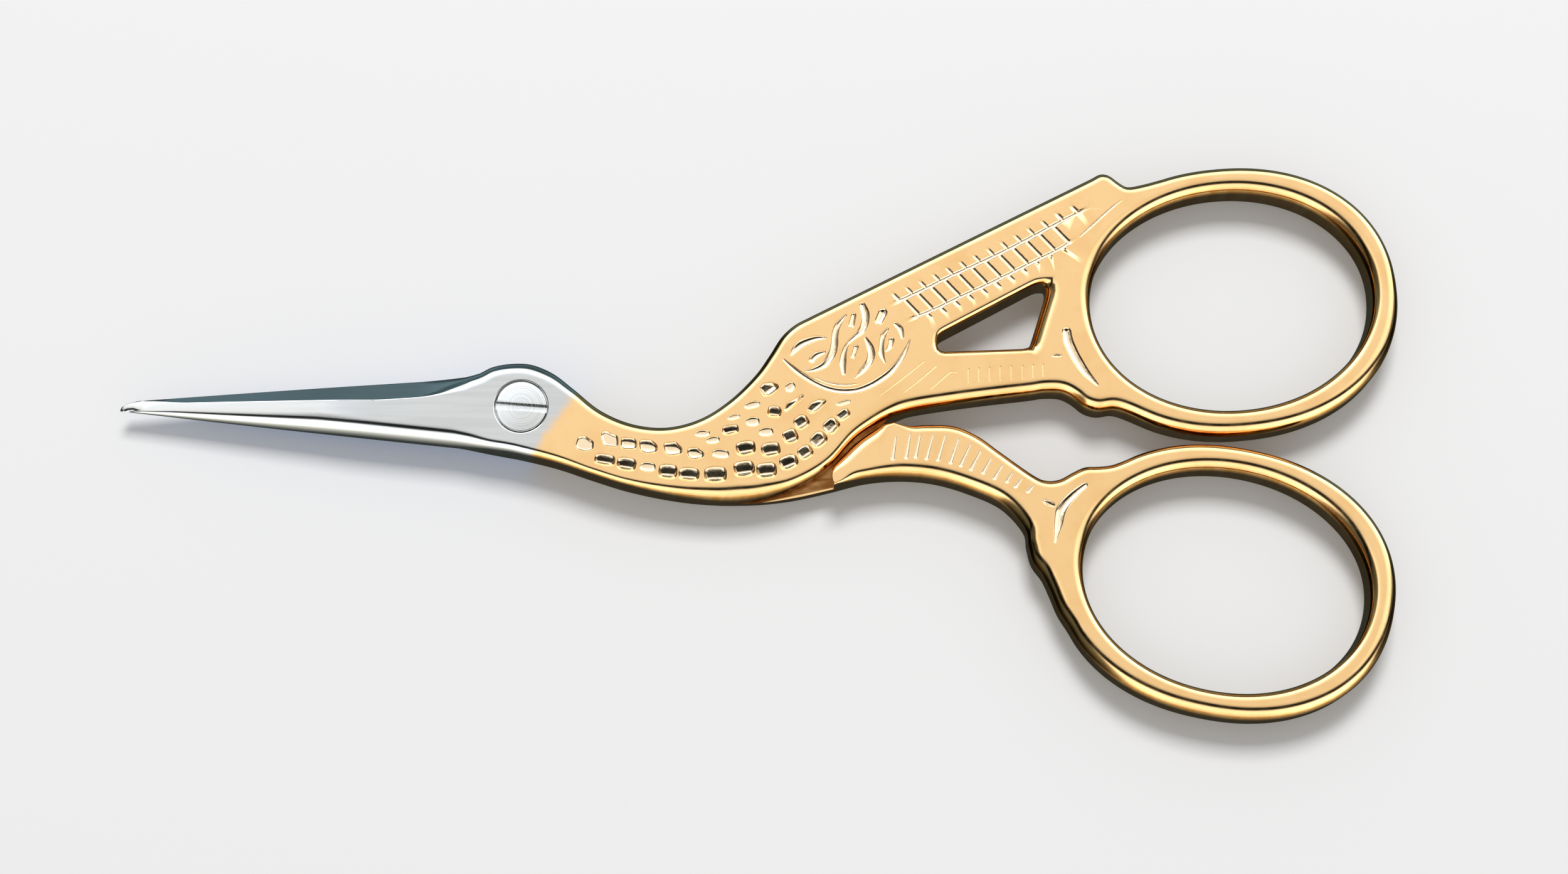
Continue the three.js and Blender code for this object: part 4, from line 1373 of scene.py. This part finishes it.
TARGET = Vector((23.5417, -2.3224, 2.3)) * MM
CAMERA_DISTANCE = 0.276
CAMERA_ELEVATION = math.radians(78)
FRAME_WIDTH = 2500
FOCAL_PIXELS = 4886.7
KEY_PLACE = Vector((0.05, 0.6, 0.95))
KEY_SIZE = 0.36
KEY_POWER = 7.55

# Light of the room on dull faces, its colour after it has bounced off the metal, and the backdrop
AMBIENT = (0.5, 0.5, 0.5, 1)
BOUNCED = (0.37, 0.53, 0.9, 1)
BACKDROP = (0.87, 0.87, 0.87, 1)
TABLE_COLOUR = (0.88, 0.88, 0.88, 1)

# What the metal mirrors, as brightness and colour by degrees from straight up. One number is a grey.
OVER_STOPS = [
    (-180, (0.03, 0.03, 0.02)), (-162, (0.05, 0.055, 0.05)), (-145, (0.13, 0.14, 0.12)),
    (-120, (0.36, 0.35, 0.3)), (-100, (0.75, 0.72, 0.62)),
    (-88, (1.3, 1.3, 1.2)), (-60, (1.6, 1.6, 1.55)), (-40, 1.4), (-33, 0.3),
    (-30, (0.02, 0.022, 0.02)), (-13, (0.012, 0.014, 0.012)), (-8, 0.6), (-4, (0.85, 0.84, 0.83)),
    (4, (0.98, 0.97, 0.95)), (12, 1.0), (22, (1.12, 1.14, 1.2)), (34, (1.7, 1.75, 1.85)),
    (48, 2.8), (58, 2.6),
    (66, (0.8, 0.9, 0.9)), (72, (0.06, 0.1, 0.11)), (96, (0.06, 0.1, 0.11)), (103, (0.13, 0.2, 0.22)),
    (114, (0.13, 0.2, 0.22)), (122, (0.05, 0.08, 0.09)), (180, (0.03, 0.03, 0.02)),
]
ASIDE_STOPS = [
    (-90, (0.04, 0.05, 0.045)), (-58, (0.07, 0.08, 0.07)), (-42, (0.1, 0.1, 0.09)), (-35, (0.35, 0.34, 0.3)),
    (-29, 1.2), (-23, 1.45), (-14, (1.12, 1.14, 1.2)), (-5, 1), (12, (0.95, 0.93, 0.9)), (25, 1.4), (42, 1.6),
    (60, 1.0), (70, 0.1), (90, 0.04),
]


def table_top():
    bm = bmesh.new()
    bmesh.ops.create_grid(bm, x_segments=1, y_segments=1, size=3)
    table = placed("table_top", mesh_of(bm, "table_top"))
    table.location = (TARGET.x, TARGET.y, -0.00002)
    material, _, shader = nodes_of("white_table")
    shader.inputs["Base Color"].default_value = TABLE_COLOUR
    shader.inputs["Roughness"].default_value = 1.0
    shader.inputs["Specular IOR Level"].default_value = 0.0
    table.data.materials.append(material)
    table.visible_glossy = False


def studio():
    """What the metal mirrors, the light of the room and the backdrop

    The metal mirrors a bright canopy overhead, with a dark band on the side of the camera and the brightest
    part behind, and dark surroundings low down and to both sides. It is given by two angles of a direction,
    in degrees: over, from straight up towards +Y, and aside, towards +X. Their lights are multiplied.
    """
    world = bpy.data.worlds.new("studio")
    bpy.context.scene.world = world
    world.use_nodes = True
    tree = world.node_tree
    back = tree.nodes["Background"]
    direction = node(tree, "ShaderNodeTexCoord").outputs["Generated"]
    x, y, z = node(tree, "ShaderNodeSeparateXYZ", {0: direction}).outputs
    over = sums(tree, "MULTIPLY", sums(tree, "ARCTAN2", y, z), 180 / math.pi)
    aside = sums(tree, "MULTIPLY", sums(tree, "ARCSINE", x), 180 / math.pi)
    lights = {0: ramp(tree, over, OVER_STOPS), 1: ramp(tree, aside, ASIDE_STOPS)}
    light = node(tree, "ShaderNodeVectorMath", lights, operation="MULTIPLY").outputs[0]
    rays = node(tree, "ShaderNodeLightPath").outputs
    glossy = rays["Is Glossy Ray"]
    mirrored = sums(tree, "MULTIPLY", glossy, sums(tree, "LESS_THAN", rays["Diffuse Depth"], 0.5))
    room = blend(tree, glossy, AMBIENT, BOUNCED)
    seen = blend(tree, rays["Is Camera Ray"], room, BACKDROP)
    tree.links.new(blend(tree, mirrored, seen, light), back.inputs["Color"])
    back.inputs["Strength"].default_value = 1.0


def ramp(tree, value, stops):
    """A colour along a scale. Its stops go above 1, so it works at a third and is brought back up."""
    peak = 3.0
    low, high = stops[0][0], stops[-1][0]
    made = node(tree, "ShaderNodeValToRGB", {0: between(tree, value, low, high, 0, 1, "LINEAR")})
    elements = made.color_ramp.elements
    while len(elements) > 1:
        elements.remove(elements[-1])
    for i, (at, colour) in enumerate(stops):
        place = (at - low) / (high - low)
        element = elements[0] if i == 0 else elements.new(place)
        element.position = place
        element.color = (*[float(c) / peak for c in np.broadcast_to(colour, 3)], 1)
    back_up = {0: made.outputs[0], 1: (peak, peak, peak)}
    return node(tree, "ShaderNodeVectorMath", back_up, operation="MULTIPLY").outputs[0]


def aim(thing, away, distance=1.0):
    """Sets a lamp or camera up at a distance from the target, and turns it to the target"""
    thing.location = TARGET + away * distance
    thing.rotation_mode = "QUATERNION"
    thing.rotation_quaternion = (-away).to_track_quat("-Z", "Y")


def lamp():
    data = bpy.data.lights.new("key_panel", "AREA")
    data.shape, data.size, data.energy = "SQUARE", KEY_SIZE, KEY_POWER
    key = placed("key_panel", data)
    aim(key, KEY_PLACE)
    key.visible_glossy = False


def camera():
    data = bpy.data.cameras.new("camera")
    data.sensor_width = 36
    data.lens = FOCAL_PIXELS / FRAME_WIDTH * data.sensor_width
    data.clip_start, data.clip_end = 0.01, 20
    eye = placed("camera", data)
    up = Vector((0, -math.cos(CAMERA_ELEVATION), math.sin(CAMERA_ELEVATION)))
    aim(eye, up, CAMERA_DISTANCE)
    bpy.context.scene.camera = eye


table_top()
studio()
lamp()
camera()
bpy.context.scene.view_settings.view_transform = "Standard"
